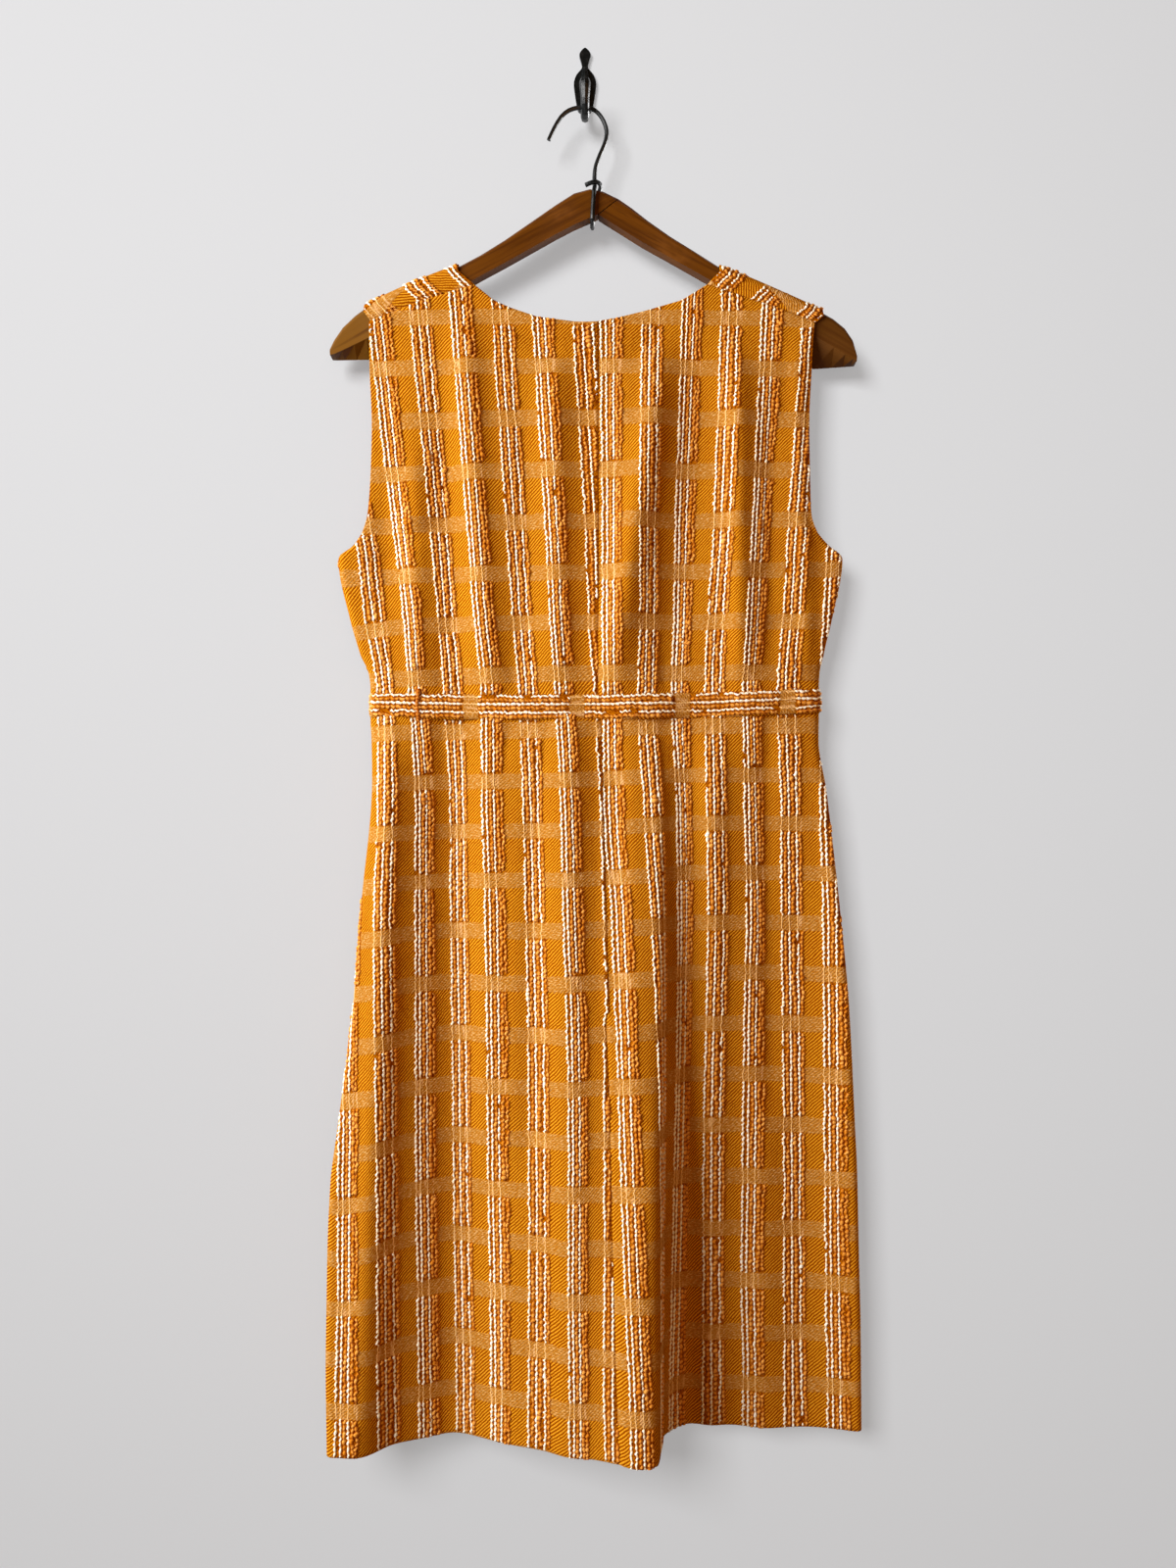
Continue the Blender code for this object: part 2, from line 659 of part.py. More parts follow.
def make_wire(collection, steel):
    route = rounded_route([(x, -depth, z) for x, depth, z in WIRE_ROUTE], 2) * MM
    poly_tube("hanger_wire", route, [WIRE / 2] * len(route), 2, collection, steel)


def mesh_from_curve(obj, collection):
    """Replace a curve object by a mesh in the same place, its caps welded on."""
    bpy.context.view_layer.update()
    graph = bpy.context.evaluated_depsgraph_get()
    mesh = bpy.data.meshes.new_from_object(obj.evaluated_get(graph))
    shape = bmesh.new()
    shape.from_mesh(mesh)
    bmesh.ops.remove_doubles(shape, verts=shape.verts, dist=0.00001)
    bmesh.ops.recalc_face_normals(shape, faces=shape.faces)
    shape.to_mesh(mesh)
    shape.free()
    name = obj.name
    new = bpy.data.objects.new(name + "_solid", mesh)
    new.matrix_world = obj.matrix_world
    bpy.data.objects.remove(obj)
    collection.objects.link(new)
    return new


def make_wall_hook(collection, helpers, iron):
    """The plate is a flat outline; the arm that curls out of it is joined to it as one casting."""
    outline = rounded_route([(half, z, 0.0) for z, half in PLATE], 2) * MM
    both = [(x, z) for x, z, _ in outline] + [(-x, z) for x, z, _ in outline[::-1]]
    curve = bpy.data.curves.new("plate", "CURVE")
    curve.dimensions = "2D"
    curve.fill_mode = "BOTH"
    curve.extrude = PLATE_THICK / 2
    spline = curve.splines.new("POLY")
    spline.points.add(len(both) - 1)
    for point, (x, z) in zip(spline.points, both):
        point.co = (x, z, 0.0, 1.0)
    spline.use_cyclic_u = True
    plate = bpy.data.objects.new("plate", curve)
    plate.rotation_euler = (math.radians(90), 0, 0)
    plate.location = (0, -PLATE_THICK / 2, 0)
    collection.objects.link(plate)
    plate = mesh_from_curve(plate, collection)
    route = rounded_route([(0.0, -depth, z) for depth, z, _ in HOOK_ARM], 2) * MM
    radii = hermite(
        np.arange(len(HOOK_ARM), dtype=float),
        np.array([row[2] for row in HOOK_ARM]) * MM,
        np.arange(len(route)) / 2,
    )
    arm = poly_tube("arm", route, radii, 2, collection, iron)
    arm = mesh_from_curve(arm, helpers)
    arm.hide_render = True
    arm.display_type = "WIRE"
    union = plate.modifiers.new("Arm", "BOOLEAN")
    union.operation = "UNION"
    union.object = arm
    plate.name = "wall_hook"
    plate.data.name = "wall_hook"
    plate.data.materials.clear()
    plate.data.materials.append(iron)


def main():
    for obj in list(bpy.data.objects):
        bpy.data.objects.remove(obj)
    parts = collection_of("shift_dress_on_hanger")
    helpers = collection_of("cutters")
    fabric = finish_of("plaid_boucle_cotton", (0.72, 0.26, 0.03), 0.9)
    belt_fabric = finish_of("belt_boucle_cotton", (0.74, 0.32, 0.08), 0.9)
    wood = finish_of("walnut_stained_beech", (0.16, 0.065, 0.02), 0.42)
    steel = finish_of("black_steel_wire", (0.02, 0.02, 0.02), 0.35, 0.8)
    iron = finish_of("black_cast_iron", (0.012, 0.016, 0.018), 0.4, 0.6)
    tape = finish_of("zip_tape", (0.6, 0.22, 0.03), 0.85)
    zip_metal = finish_of("zip_metal", (0.6, 0.6, 0.58), 0.35, 1.0)
    make_dress(parts, fabric)
    make_belt(parts, belt_fabric)
    make_zip(parts, tape, zip_metal)
    make_arm("hanger_arm_left", LEFT_ARM, parts, wood)
    make_arm("hanger_arm_right", RIGHT_ARM, parts, wood)
    make_wire(parts, steel)
    make_wall_hook(parts, helpers, iron)


main()
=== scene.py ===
import math

import bpy
import numpy as np
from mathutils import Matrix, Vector


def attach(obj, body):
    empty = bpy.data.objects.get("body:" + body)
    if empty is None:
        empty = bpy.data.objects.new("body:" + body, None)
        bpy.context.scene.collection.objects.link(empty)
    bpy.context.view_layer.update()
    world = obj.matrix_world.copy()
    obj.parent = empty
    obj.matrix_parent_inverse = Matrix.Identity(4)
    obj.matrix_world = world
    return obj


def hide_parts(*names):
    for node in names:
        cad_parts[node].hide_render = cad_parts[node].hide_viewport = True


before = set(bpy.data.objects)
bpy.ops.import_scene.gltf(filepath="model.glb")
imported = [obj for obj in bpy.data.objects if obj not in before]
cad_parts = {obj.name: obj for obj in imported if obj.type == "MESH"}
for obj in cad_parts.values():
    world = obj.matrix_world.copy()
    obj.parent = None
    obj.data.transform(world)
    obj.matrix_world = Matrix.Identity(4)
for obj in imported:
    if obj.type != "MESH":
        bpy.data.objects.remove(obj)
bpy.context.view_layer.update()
MM = 0.001

# ---------------------------------------------------------------------------------------------
# The back of the dress: two one-piece panels from hem to shoulder in loosely spun cotton, cut
# with the stripes upright and joined by a centre-back seam. Each is a thin shell on the line of
# its solid: crests and hollows run down it, and the grain follows them as it hangs.

# heights
HEM = -1124 * MM
WAIST = -530 * MM
UNDERARM = -409 * MM
BUST = -300 * MM
NECK_BASE = -200 * MM
SHOULDER = -195 * MM
TOP = -160 * MM
ARMHOLE_OPENS = 24 * MM
HELD_HEIGHTS = np.array([-1200, -603, -546, -513, -490, 0]) * MM
HELD_READS = np.array([-1200, -603, -530, -530, -490, 0]) * MM

WOOD_DEPTH = 24.5 * MM
CLOTH_ON_WOOD = 7.4 * MM
SIDE_CURVE = 5 * MM
SEAM_GAP = 0.3 * MM
CLOTH_OUT = 0.7 * MM      # outer face of the cloth from its middle
CLOTH_IN = 0.5 * MM
ROW_STEP = 1.45 * MM      # rows of points up the cloth; cords use each, the cloth every second
COLUMN_STEP = 3.6 * MM
EDGE_TRIES = 8            # rounds in which a column's top settles on the upper edge
SECTION_POINTS = 200      # points along a section where its length is measured
GRAIN_POINTS = 240

# side seams and armhole edges: height, left x, right x, depth of the left seam, of the right
SIDES = np.array([
    (-1124, -203.0, 226.0, 70, 34), (-1040, -205.0, 225.5, 64, 33), (-975, -205.0, 224.0, 59, 33),
    (-917, -203.5, 223.0, 55, 32), (-873, -198.5, 221.0, 52, 32), (-778, -187.5, 216.5, 45, 31),
    (-691, -181.5, 208.5, 39, 30), (-595, -174.0, 197.5, 33, 30), (-546, -175.0, 191.7, 30, 29),
    (-513, -177.7, 192.6, 29, 29), (-487, -185.0, 196.5, 28, 28), (-460, -193.0, 203.0, 27, 27),
    (-409, -203.0, 212.0, 26, 26), (-399, -190.5, 200.5, 26, 26), (-387, -182.0, 189.8, 26, 26),
    (-372, -178.0, 185.3, 26, 26), (-335, -175.5, 184.3, 26, 26), (-300, -174.7, 183.8, 26, 26),
    (-255, -176.5, 185.8, 26, 26), (-212, -177.3, 189.0, 26, 26), (-190, -184.0, 199.0, 26, 26),
]) * MM

# crests and hollows of the back: x and depth at the bust, at the waist and at the hem
BACK_LINES = np.array([
    (-190, 32.0, -178, 33.0, -204, 75.0), (-165, 33.0, -158, 35.5, -187, 74.0),
    (-140, 35.5, -136, 37.0, -152, 54.0), (-105, 33.5, -104, 36.0, -102, 43.0),
    (-65, 37.0, -60, 40.0, -54, 58.0), (-28, 38.0, -25, 42.5, -8, 71.0),
    (5, 35.5, 8, 40.0, 21, 82.0), (36, 41.0, 38, 44.0, 42, 91.0),
    (55, 39.5, 58, 43.0, 56, 84.0), (68, 37.5, 72, 39.5, 64, 42.0),
    (92, 35.0, 92, 36.5, 92, 22.0), (108, 36.0, 108, 36.5, 108, 20.5),
    (130, 38.5, 130, 39.0, 131, 28.0), (152, 36.0, 150, 37.5, 152, 34.0),
    (170, 34.0, 172, 35.5, 192, 35.0), (196, 32.0, 193, 33.0, 226, 37.5),
]) * MM

# the same for the front, which hangs between the back and the wall
FRONT_LINES = np.array([
    (-190, 17.5, -178, 25.0, -204, 64.0), (-165, 14.5, -158, 20.0, -180, 45.0),
    (-120, 11.5, -125, 14.5, -140, 17.0), (-75, 9.5, -80, 12.5, -92, 10.5),
    (-30, 11.5, -35, 14.5, -36, 31.0), (10, 13.0, 5, 16.0, 14, 53.0),
    (40, 11.5, 40, 14.5, 44, 38.0), (75, 9.5, 80, 12.5, 82, 11.0),
    (110, 9.5, 110, 12.5, 112, 9.0), (150, 11.5, 150, 15.0, 156, 17.0),
    (180, 15.0, 174, 20.0, 202, 20.0), (200, 17.5, 193, 25.0, 226, 30.0),
]) * MM

# centre-back seam: height, x
CENTRE_BACK = np.array([
    (-1124, 27.0), (-1026, 24.0), (-940, 21.8), (-845, 19.7), (-753, 15.9),
    (-674, 13.6), (-547, 10.6), (-515, 8.6), (-370, 8.1), (-215, 8.1),
]) * MM

# upper edge of the back from the left shoulder tip over the neckline to the right: x, height
BACK_TOP = np.array([
    (-185.0, -217.5), (-175.5, -214.1), (-136.8, -198.3), (-91.0, -184.6),
    (-74.7, -197.6), (-61.9, -203.4), (-39.7, -211.0), (-8.0, -215.2), (8.0, -215.2),
    (25.8, -212.3), (48.4, -206.6), (79.7, -197.4),
    (100.8, -184.4), (136.2, -196.4), (164.4, -205.6), (189.3, -215.6), (199.0, -219.5),
]) * MM
NECK_CORNER = {"left": (-91.0 * MM, -184.6 * MM), "right": (100.8 * MM, -184.4 * MM)}

# where the first cord of each stripe hangs: height, then x of the stripes outwards from the
# centre-back seam
STRIPE = 34.5 * MM
LEFT_STRIPES = np.array([
    (-1124, 16.0, -11.5, -44.5, -75.0, -104.0, -134.0, -164.0, -196.0),
    (-1080, 15.5, -11.5, -44.5, -75.0, -104.5, -134.5, -164.5, -196.0),
    (-1000, 15.5, -12.5, -44.0, -76.0, -106.0, -135.5, -165.0, -195.5),
    (-900, 15.5, -12.5, -44.5, -78.0, -107.5, -137.0, -165.5, -196.5),
    (-800, 15.5, -13.5, -45.5, -79.0, -108.5, -137.5, -167.5, -194.0),
    (-700, 13.0, -17.0, -47.5, -80.5, -110.0, -138.0, -169.0, -190.0),
    (-615, 10.5, -19.0, -50.0, -83.0, -110.5, -138.0, -167.5, -197.0),
    (-518, 5.5, -24.0, -53.5, -84.0, -115.5, -143.5, -170.0, -200.0),
    (-460, 1.5, -28.0, -58.5, -89.5, -120.0, -147.5, -180.0, -212.0),
    (-390, -0.5, -31.5, -63.5, -95.0, -126.0, -156.5, -188.0, -220.0),
    (-235, -8.0, -41.0, -74.5, -108.5, -141.0, -174.0, -207.0, -240.0),
    (-180, -10.5, -44.5, -78.5, -113.5, -146.5, -180.0, -214.0, -248.0),
]) * MM
LEFT_GRAIN = STRIPE * np.array([1, 0, -1, -2, -3, -4, -5, -6])
RIGHT_STRIPES = np.array([
    (-1124, 36.5, 68.0, 97.5, 130.5, 164.5, 200.0),
    (-1080, 35.5, 68.5, 97.5, 130.5, 164.5, 199.5),
    (-1000, 32.5, 70.5, 97.5, 129.0, 164.0, 198.5),
    (-900, 29.0, 72.5, 97.5, 130.0, 164.0, 197.5),
    (-800, 26.0, 74.5, 99.0, 130.5, 163.5, 197.0),
    (-700, 22.5, 75.5, 100.5, 132.5, 162.0, 196.0),
    (-615, 17.0, 74.5, 99.5, 130.5, 161.0, 193.0),
    (-518, 16.0, 71.0, 98.5, 129.0, 157.5, 192.5),
    (-460, 15.5, 73.0, 101.0, 131.5, 162.5, 195.5),
    (-390, 15.5, 74.0, 105.5, 136.0, 166.5, 200.0),
    (-235, 14.0, 79.5, 111.5, 144.0, 177.0, 210.0),
    (-180, 13.5, 81.5, 113.5, 147.0, 181.0, 215.0),
]) * MM
RIGHT_GRAIN = STRIPE * np.array([0, 2, 3, 4, 5, 6])

# how far below a level line the weft bands hang: height, then at the left side seam, the left
# hollow, the middle, the deep fold and the right side seam
SAG_PLACES = np.array([-195, -135, -20, 95, 205]) * MM
SAG = np.array([
    (-1124, 0, 0, 0, 0, 2), (-1085, 1, 0, 0, 0, 2), (-965, 10, 0, 0, -3, 0),
    (-880, 13, 4, 1, -5, -2), (-760, 13, 4, 2, -5, -2), (-710, 12, 4, 1, -4, -2),
    (-630, 9, 6, 4, -2, -1), (-550, 10, 8, 6, 3, 2), (-505, 8, 5, 2, 1, 0),
    (-463, 11, 4, 2, 1, 0), (-420, 6, 5, 3, 1, -1), (-340, 5, 5, 2, 2, 1),
    (-250, 2, 1, 0, 1, 3), (-160, 2, 1, 0, 1, 3),
]) * MM


def smooth_through(place, value, at):
    """Monotone cubic through (place, value) along the last axis, read at `at`. Each span is a
    Hermite cubic; its end slopes are the harmonic means of the slopes beside each point."""
    place, value = np.broadcast_arrays(place, value)
    step = np.diff(place, axis=-1)
    slope = np.diff(value, axis=-1) / step
    before, after = slope[..., :-1], slope[..., 1:]
    agree = before * after > 0
    inner = np.where(agree, 2 * before * after / np.where(agree, before + after, 1), 0)
    tangent = np.concatenate([slope[..., :1], inner, slope[..., -1:]], axis=-1)
    at = np.clip(at, place[..., 0], place[..., -1])
    span = np.clip((at[..., None] >= place).sum(-1) - 1, 0, step.shape[-1] - 1)[..., None]

    def pick(table, shift=0):
        """The table's entry for each point's span, or the one after it."""
        table = np.broadcast_to(table, at.shape + table.shape[-1:])
        return np.take_along_axis(table, span + shift, -1)[..., 0]

    h = pick(step)
    t = (at - pick(place)) / h
    return (
        (1 + 2 * t) * (1 - t) ** 2 * pick(value)
        + t * (1 - t) ** 2 * h * pick(tangent)
        + t * t * (3 - 2 * t) * pick(value, 1)
        + t * t * (t - 1) * h * pick(tangent, 1)
    )


def read(table, column, z):
    """A column of a table of heights (column 0), joined smoothly."""
    rows = table[np.argsort(table[:, 0])]
    return smooth_through(rows[:, 0], rows[:, column], np.asarray(z, float))


def ease(t):
    """Smooth step from 0 to 1."""
    t = np.clip(t, 0, 1)
    return t * t * (3 - 2 * t)


def held(z):
    """Height at which a section is read: the waist's own section all through the belt."""
    return np.interp(z, HELD_HEIGHTS, HELD_READS)


def side_x(side, z):
    """x of a side seam, or of the armhole's edge above it, at height z."""
    return read(SIDES, 1 if side == "left" else 2, held(z))


def side_depth(side, z):
    """Depth of a side seam at height z."""
    return read(SIDES, 3 if side == "left" else 4, held(z))


def side_reach(x, z):
    """Distance in from the nearer side seam."""
    return np.minimum(x - side_x("left", z), side_x("right", z) - x)


def free_depth(lines, on_wood, x, z):
    """Depth of a panel away from its side seams: its lines at this height joined smoothly. They
    run straight from waist to hem, ease from waist to bust, and come to the hanger above."""
    z = held(z)[..., None]
    low = (WAIST - z) / (WAIST - HEM)
    high = ease((z - WAIST) / (BUST - WAIST))
    below = z <= WAIST
    place = lines[:, 2] + np.where(
        below, (lines[:, 4] - lines[:, 2]) * low, (lines[:, 0] - lines[:, 2]) * high
    )
    depth = lines[:, 3] + np.where(
        below, (lines[:, 5] - lines[:, 3]) * low, (lines[:, 1] - lines[:, 3]) * high
    )
    depth = depth + (on_wood - depth) * ease((z - BUST) / (SHOULDER - BUST))
    return smooth_through(place, depth, x)


def panel_depth(face, x, z):
    """Depth of the back or the front at x, z: free depth, turned in a quarter ellipse towards the
    other panel at the side seams below the underarm."""
    x, z = np.broadcast_arrays(x, z)
    back = face == "back"
    free = free_depth(
        BACK_LINES if back else FRONT_LINES,
        WOOD_DEPTH + (CLOTH_ON_WOOD if back else -CLOTH_ON_WOOD), x, z,
    )
    left = x < read(CENTRE_BACK, 1, z)
    seam = np.where(left, side_depth("left", z), side_depth("right", z))
    seam = seam + (0.5 if back else -0.5) * SEAM_GAP
    edge = np.where(left, x - side_x("left", z), side_x("right", z) - x)
    near = np.clip(edge / SIDE_CURVE, 0, 1)
    turned = seam + (free - seam) * np.sqrt(1 - (1 - near) ** 2)
    closed = 1 - ease((z - UNDERARM) / ARMHOLE_OPENS)
    return free + (turned - free) * closed


def by_row(at, place, value):
    """Read value over place at `at`, row by row: every row is scaled to 0..1 and set apart from
    the next, so that one interpolation does them all."""
    rows = np.arange(len(place))[:, None] * 2
    low, high = place[:, :1], place[:, -1:]
    spread = rows + (place - low) / (high - low)
    wanted = rows + np.clip((at - low) / (high - low), 0, 1)
    return np.interp(wanted.ravel(), spread.ravel(), value.ravel()).reshape(wanted.shape)


LOOKUP = np.linspace(HEM, TOP, 161)     # heights where the columns are placed
TURN = 1 - np.cos(np.radians([72, 54, 38, 24, 11, 0]))   # columns round a side turn


def column_places(face, side, middle, shares):
    """x of each column at the LOOKUP heights: equal shares of the cloth's width, measured along
    the section from the middle to the start of the side turn, then the points round the turn."""
    sign = -1 if side == "left" else 1
    z = LOOKUP[:, None]
    outer = side_x(side, z)
    start = outer - sign * SIDE_CURVE
    fine = middle + (start - middle) * np.linspace(0, 1, SECTION_POINTS)
    depth = panel_depth(face, fine, z)
    run = np.hypot(np.diff(fine), np.diff(depth)).cumsum(axis=1)
    run = np.concatenate([np.zeros_like(z), run], axis=1)
    flat = by_row(np.asarray(shares) * run[:, -1:], run, fine)
    return np.concatenate([flat, outer - sign * SIDE_CURVE * TURN], axis=1)


def place_at(places, z):
    """x of every column at height z of rows by columns, between the LOOKUP heights."""
    at = (np.clip(z, HEM, TOP) - HEM) / (LOOKUP[1] - LOOKUP[0])
    low = np.clip(at.astype(int), 0, len(LOOKUP) - 2)
    share = at - low
    column = np.arange(places.shape[1])
    return places[low, column] * (1 - share) + places[low + 1, column] * share


def back_grid(side):
    """Points of a back panel, rows from hem to upper edge and columns outwards from the centre:
    level rows up to the underarm, then shares of each column's way to the upper edge."""
    corner_x, corner_z = NECK_CORNER[side]
    sign = -1 if side == "left" else 1
    middle = read(CENTRE_BACK, 1, LOOKUP)[:, None]
    reach = abs(side_x(side, corner_z) - sign * SIDE_CURVE - read(CENTRE_BACK, 1, corner_z))
    near = abs(corner_x - read(CENTRE_BACK, 1, corner_z))
    count = round(near / COLUMN_STEP), round((reach - near) / COLUMN_STEP)
    shares = np.concatenate([
        np.linspace(0, near / reach, count[0], endpoint=False),
        np.linspace(near / reach, 1, count[1] + 1),
    ])
    places = column_places("back", side, middle, shares)
    level = np.arange(HEM, UNDERARM, ROW_STEP)[:, None] * np.ones(places.shape[1])
    top = np.full((1, places.shape[1]), NECK_BASE)
    for _ in range(EDGE_TRIES):
        top = np.interp(place_at(places, top), BACK_TOP[:, 0], BACK_TOP[:, 1])
    steps = 2 * round((top.max() - UNDERARM) / ROW_STEP / 2) + 1 - len(level) % 2
    rise = UNDERARM + (top - SEAM_GAP - UNDERARM) * np.linspace(0, 1, steps)[:, None]
    z = np.concatenate([level, rise])
    x = place_at(places, z)
    return x, z


def grain_across(side, x, z):
    """Where each point lies across the cloth: its distance along the section, matched to the
    stripes' own places at that height, which lie a stripe's width apart in the cloth."""
    table, grain = (LEFT_STRIPES, LEFT_GRAIN) if side == "left" else (RIGHT_STRIPES, RIGHT_GRAIN)
    level = z.mean(axis=1)
    anchors = np.stack([read(table, i, level) for i in range(1, table.shape[1])], axis=1)
    order = np.argsort(grain)
    anchors, grain = anchors[:, order], grain[order]
    fine = anchors[:, :1] + (anchors[:, -1:] - anchors[:, :1]) * np.linspace(0, 1, GRAIN_POINTS)
    fine_depth = panel_depth("back", fine, np.minimum(level, SHOULDER)[:, None])
    run = np.hypot(np.diff(fine), np.diff(fine_depth)).cumsum(axis=1)
    run = np.concatenate([np.zeros((len(run), 1)), run], axis=1)
    knots = by_row(anchors, fine, run)
    at = by_row(x, fine, run)
    u = smooth_through(knots[:, None, :], grain, at)
    u += np.minimum(x - anchors[:, :1], 0) + np.maximum(x - anchors[:, -1:], 0)
    return u


def weft_along(x, z):
    """Where each point lies up the cloth: its height, plus how far the weft sags there."""
    sag = np.stack([read(SAG, i, z) for i in range(1, SAG.shape[1])], axis=-1)
    return z + smooth_through(SAG_PLACES, sag, x)


def normals_of(points):
    """Unit normals of a grid, from the cross product of its slopes along and up."""
    up, across = np.gradient(points, axis=0), np.gradient(points, axis=1)
    normal = np.cross(across, up)
    return normal / np.linalg.norm(normal, axis=2, keepdims=True)


def new_piece(name, points, faces, uv=None):
    """A smooth-shaded object of quads at the origin, with a UV map in metres of cloth."""
    mesh = bpy.data.meshes.new(name)
    mesh.from_pydata(points.tolist(), [], faces if isinstance(faces, list) else faces.tolist())
    if uv is not None:
        layer = mesh.uv_layers.new(name="cloth")
        loops = np.empty(len(mesh.loops), int)
        mesh.loops.foreach_get("vertex_index", loops)
        layer.data.foreach_set("uv", uv.reshape(-1, 2)[loops].astype(np.float32).ravel())
    mesh.shade_smooth()
    piece = bpy.data.objects.new(name, mesh)
    bpy.context.scene.collection.objects.link(piece)
    return piece


def made_of(piece, finish, solid=None):
    """Gives a piece its finish, body and slot, and hides the solid that it stands in for."""
    piece.data.materials.append(finish)
    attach(piece, "root")
    if solid:
        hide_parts(solid)
    return piece


def quads_of(index):
    """Quads between neighbours of a grid of point numbers, anticlockwise as its rows and columns
    run."""
    return np.stack(
        [index[:-1, :-1], index[:-1, 1:], index[1:, 1:], index[1:, :-1]], axis=-1
    ).reshape(-1, 4)


def cloth_shell(name, points, faces, uv, out=CLOTH_OUT, inward=CLOTH_IN, rim=0.4 * MM):
    """A closed thin shell on a sheet of quads: its points moved out and in along their normals,
    with a rounded rim between the two faces along every open edge of the sheet."""
    points, uv = points.reshape(-1, 3), uv.reshape(-1, 2)
    count = len(points)
    normal = np.zeros_like(points)
    corner = points[faces]
    turn = np.cross(corner[:, 2] - corner[:, 0], corner[:, 3] - corner[:, 1])
    np.add.at(normal, faces.ravel(), np.repeat(turn, 4, axis=0))
    normal /= np.maximum(np.linalg.norm(normal, axis=1, keepdims=True), 1e-12)
    start, stop = faces.ravel(), np.roll(faces, -1, axis=1).ravel()
    open_edge = ~np.isin(start * count + stop, stop * count + start)
    start, stop = start[open_edge], stop[open_edge]
    away = np.zeros_like(points)
    for end in (start, stop):
        np.add.at(away, end, np.cross(points[stop] - points[start], normal[end]))
    away /= np.maximum(np.linalg.norm(away, axis=1, keepdims=True), 1e-12)
    edge = np.unique(start)
    between = np.full(count, -1)
    between[edge] = 2 * count + np.arange(len(edge))
    middle = points[edge] + normal[edge] * (out - inward) / 2 + away[edge] * rim
    everything = np.concatenate([points + normal * out, points - normal * inward, middle])
    all_faces = np.concatenate([
        faces, faces[:, ::-1] + count,
        np.stack([stop, start, between[start], between[stop]], axis=1),
        np.stack([between[stop], between[start], start + count, stop + count], axis=1),
    ])
    return new_piece(name, everything, all_faces, np.concatenate([uv, uv, uv[edge]]))


# Folds and creases of the hanging cloth: start x, z, end x, z, half width, depth; a negative depth
# is a ridge. First the long folds of the skirt and of the bodice, then the short creases.
BACK_FOLDS = np.array([
    (-158, -556, -172, -1150, 14.0, -7.0), (-110, -556, -108, -1150, 18.0, 6.5),
    (-80, -556, -82, -900, 9.0, -2.4), (-13, -548, -13, -1150, 15.0, -6.3),
    (72, -590, 72, -930, 17.0, -3.4), (104, -560, 106, -1150, 15.0, -9.0),
    (-40, -600, -44, -900, 9.0, 2.8), (148, -545, 152, -860, 9.0, 3.0),
    (170, -640, 182, -1150, 30.0, 8.0), (24, -580, 26, -1000, 8.0, 1.6),
    (53, -860, 57, -1150, 8.0, -2.4),
    (-139, -330, -137, -512, 9.0, -3.0), (-99, -225, -79, -520, 13.0, -7.0),
    (-118, -300, -106, -520, 9.0, 2.0), (-165, -375, -160, -430, 12.0, 4.0),
    (-24, -250, -21, -500, 11.0, -3.5), (61, -262, 21, -512, 13.0, -7.5),
    (90, -290, 66, -520, 20.0, 5.0), (-50, -280, -48, -520, 12.0, 2.5),
    (124, -250, 126, -505, 9.0, -5.0), (152, -290, 152, -500, 9.0, 3.0),
    (176, -240, 182, -500, 7.0, -3.0),
]) * MM
BACK_CREASES = np.array([
    (-52, -226, -18, -246, 9.0, 1.6), (60, -222, 28, -262, 9.0, 1.2),
    (-168, -414, -120, -380, 7.0, 1.2), (-176, -440, -128, -470, 8.0, 1.0),
    (176, -408, 132, -372, 7.0, 1.1), (182, -446, 140, -480, 8.0, 0.9),
    (-118, -470, -118, -515, 4.0, 1.1), (-119, -545, -117, -590, 4.0, 1.0),
    (-64, -488, -58, -516, 3.5, 1.0), (-60, -544, -66, -580, 3.5, 0.9),
    (62, -470, 63, -516, 4.0, 1.0), (63, -544, 64, -590, 4.0, 1.1),
    (104, -490, 100, -516, 3.5, 0.9), (102, -544, 108, -582, 3.5, 0.9),
    (-30, -544, -36, -590, 4.0, 0.9), (150, -544, 153, -575, 3.5, 0.8),
    (-150, -544, -152, -574, 3.5, 0.8), (-86, -490, -84, -514, 3.0, 0.7),
    (14, -262, 30, -272, 3.5, 0.8), (12, -316, 26, -322, 3.5, 0.7), (12, -366, 27, -370, 3.5, 0.7),
    (14, -434, 30, -440, 3.5, 0.7), (-8, -300, 3, -312, 3.5, 0.6), (-10, -352, 3, -360, 3.5, 0.6),
    (-6, -448, 3, -456, 3.5, 0.6), (20, -590, 36, -600, 4.0, 0.7), (22, -668, 38, -676, 4.0, 0.7),
]) * MM
FOLD_FADE = 4.0           # half widths over which a fold dies away at its ends
CREASE_FADE = 1.5
# the waist darts, stitched from the wrong side: x at their middle, lowest and highest z
BACK_DARTS = np.array([(-118.0, -608, -462), (63.0, -606, -446)]) * MM


def creased(x, z, creases, fading):
    """How much deeper the creases make the cloth: each is a line that falls off as a bell across
    it, and fades over its ends."""
    total = np.zeros(x.shape)
    for x0, z0, x1, z1, width, depth in creases:
        length = math.hypot(x1 - x0, z1 - z0)
        along = ((x - x0) * (x1 - x0) + (z - z0) * (z1 - z0)) / length
        across = ((x - x0) * (z1 - z0) - (z - z0) * (x1 - x0)) / length
        over = 2 * fading * width
        fade = ease(along / over + 0.5) * ease((length - along) / over + 0.5)
        total += depth * np.exp(-((across / width) ** 2)) * fade
    return total


ZIP_END = -779 * MM
ZIP_FADE = 8 * MM         # height over which the lap gives way to the plain seam
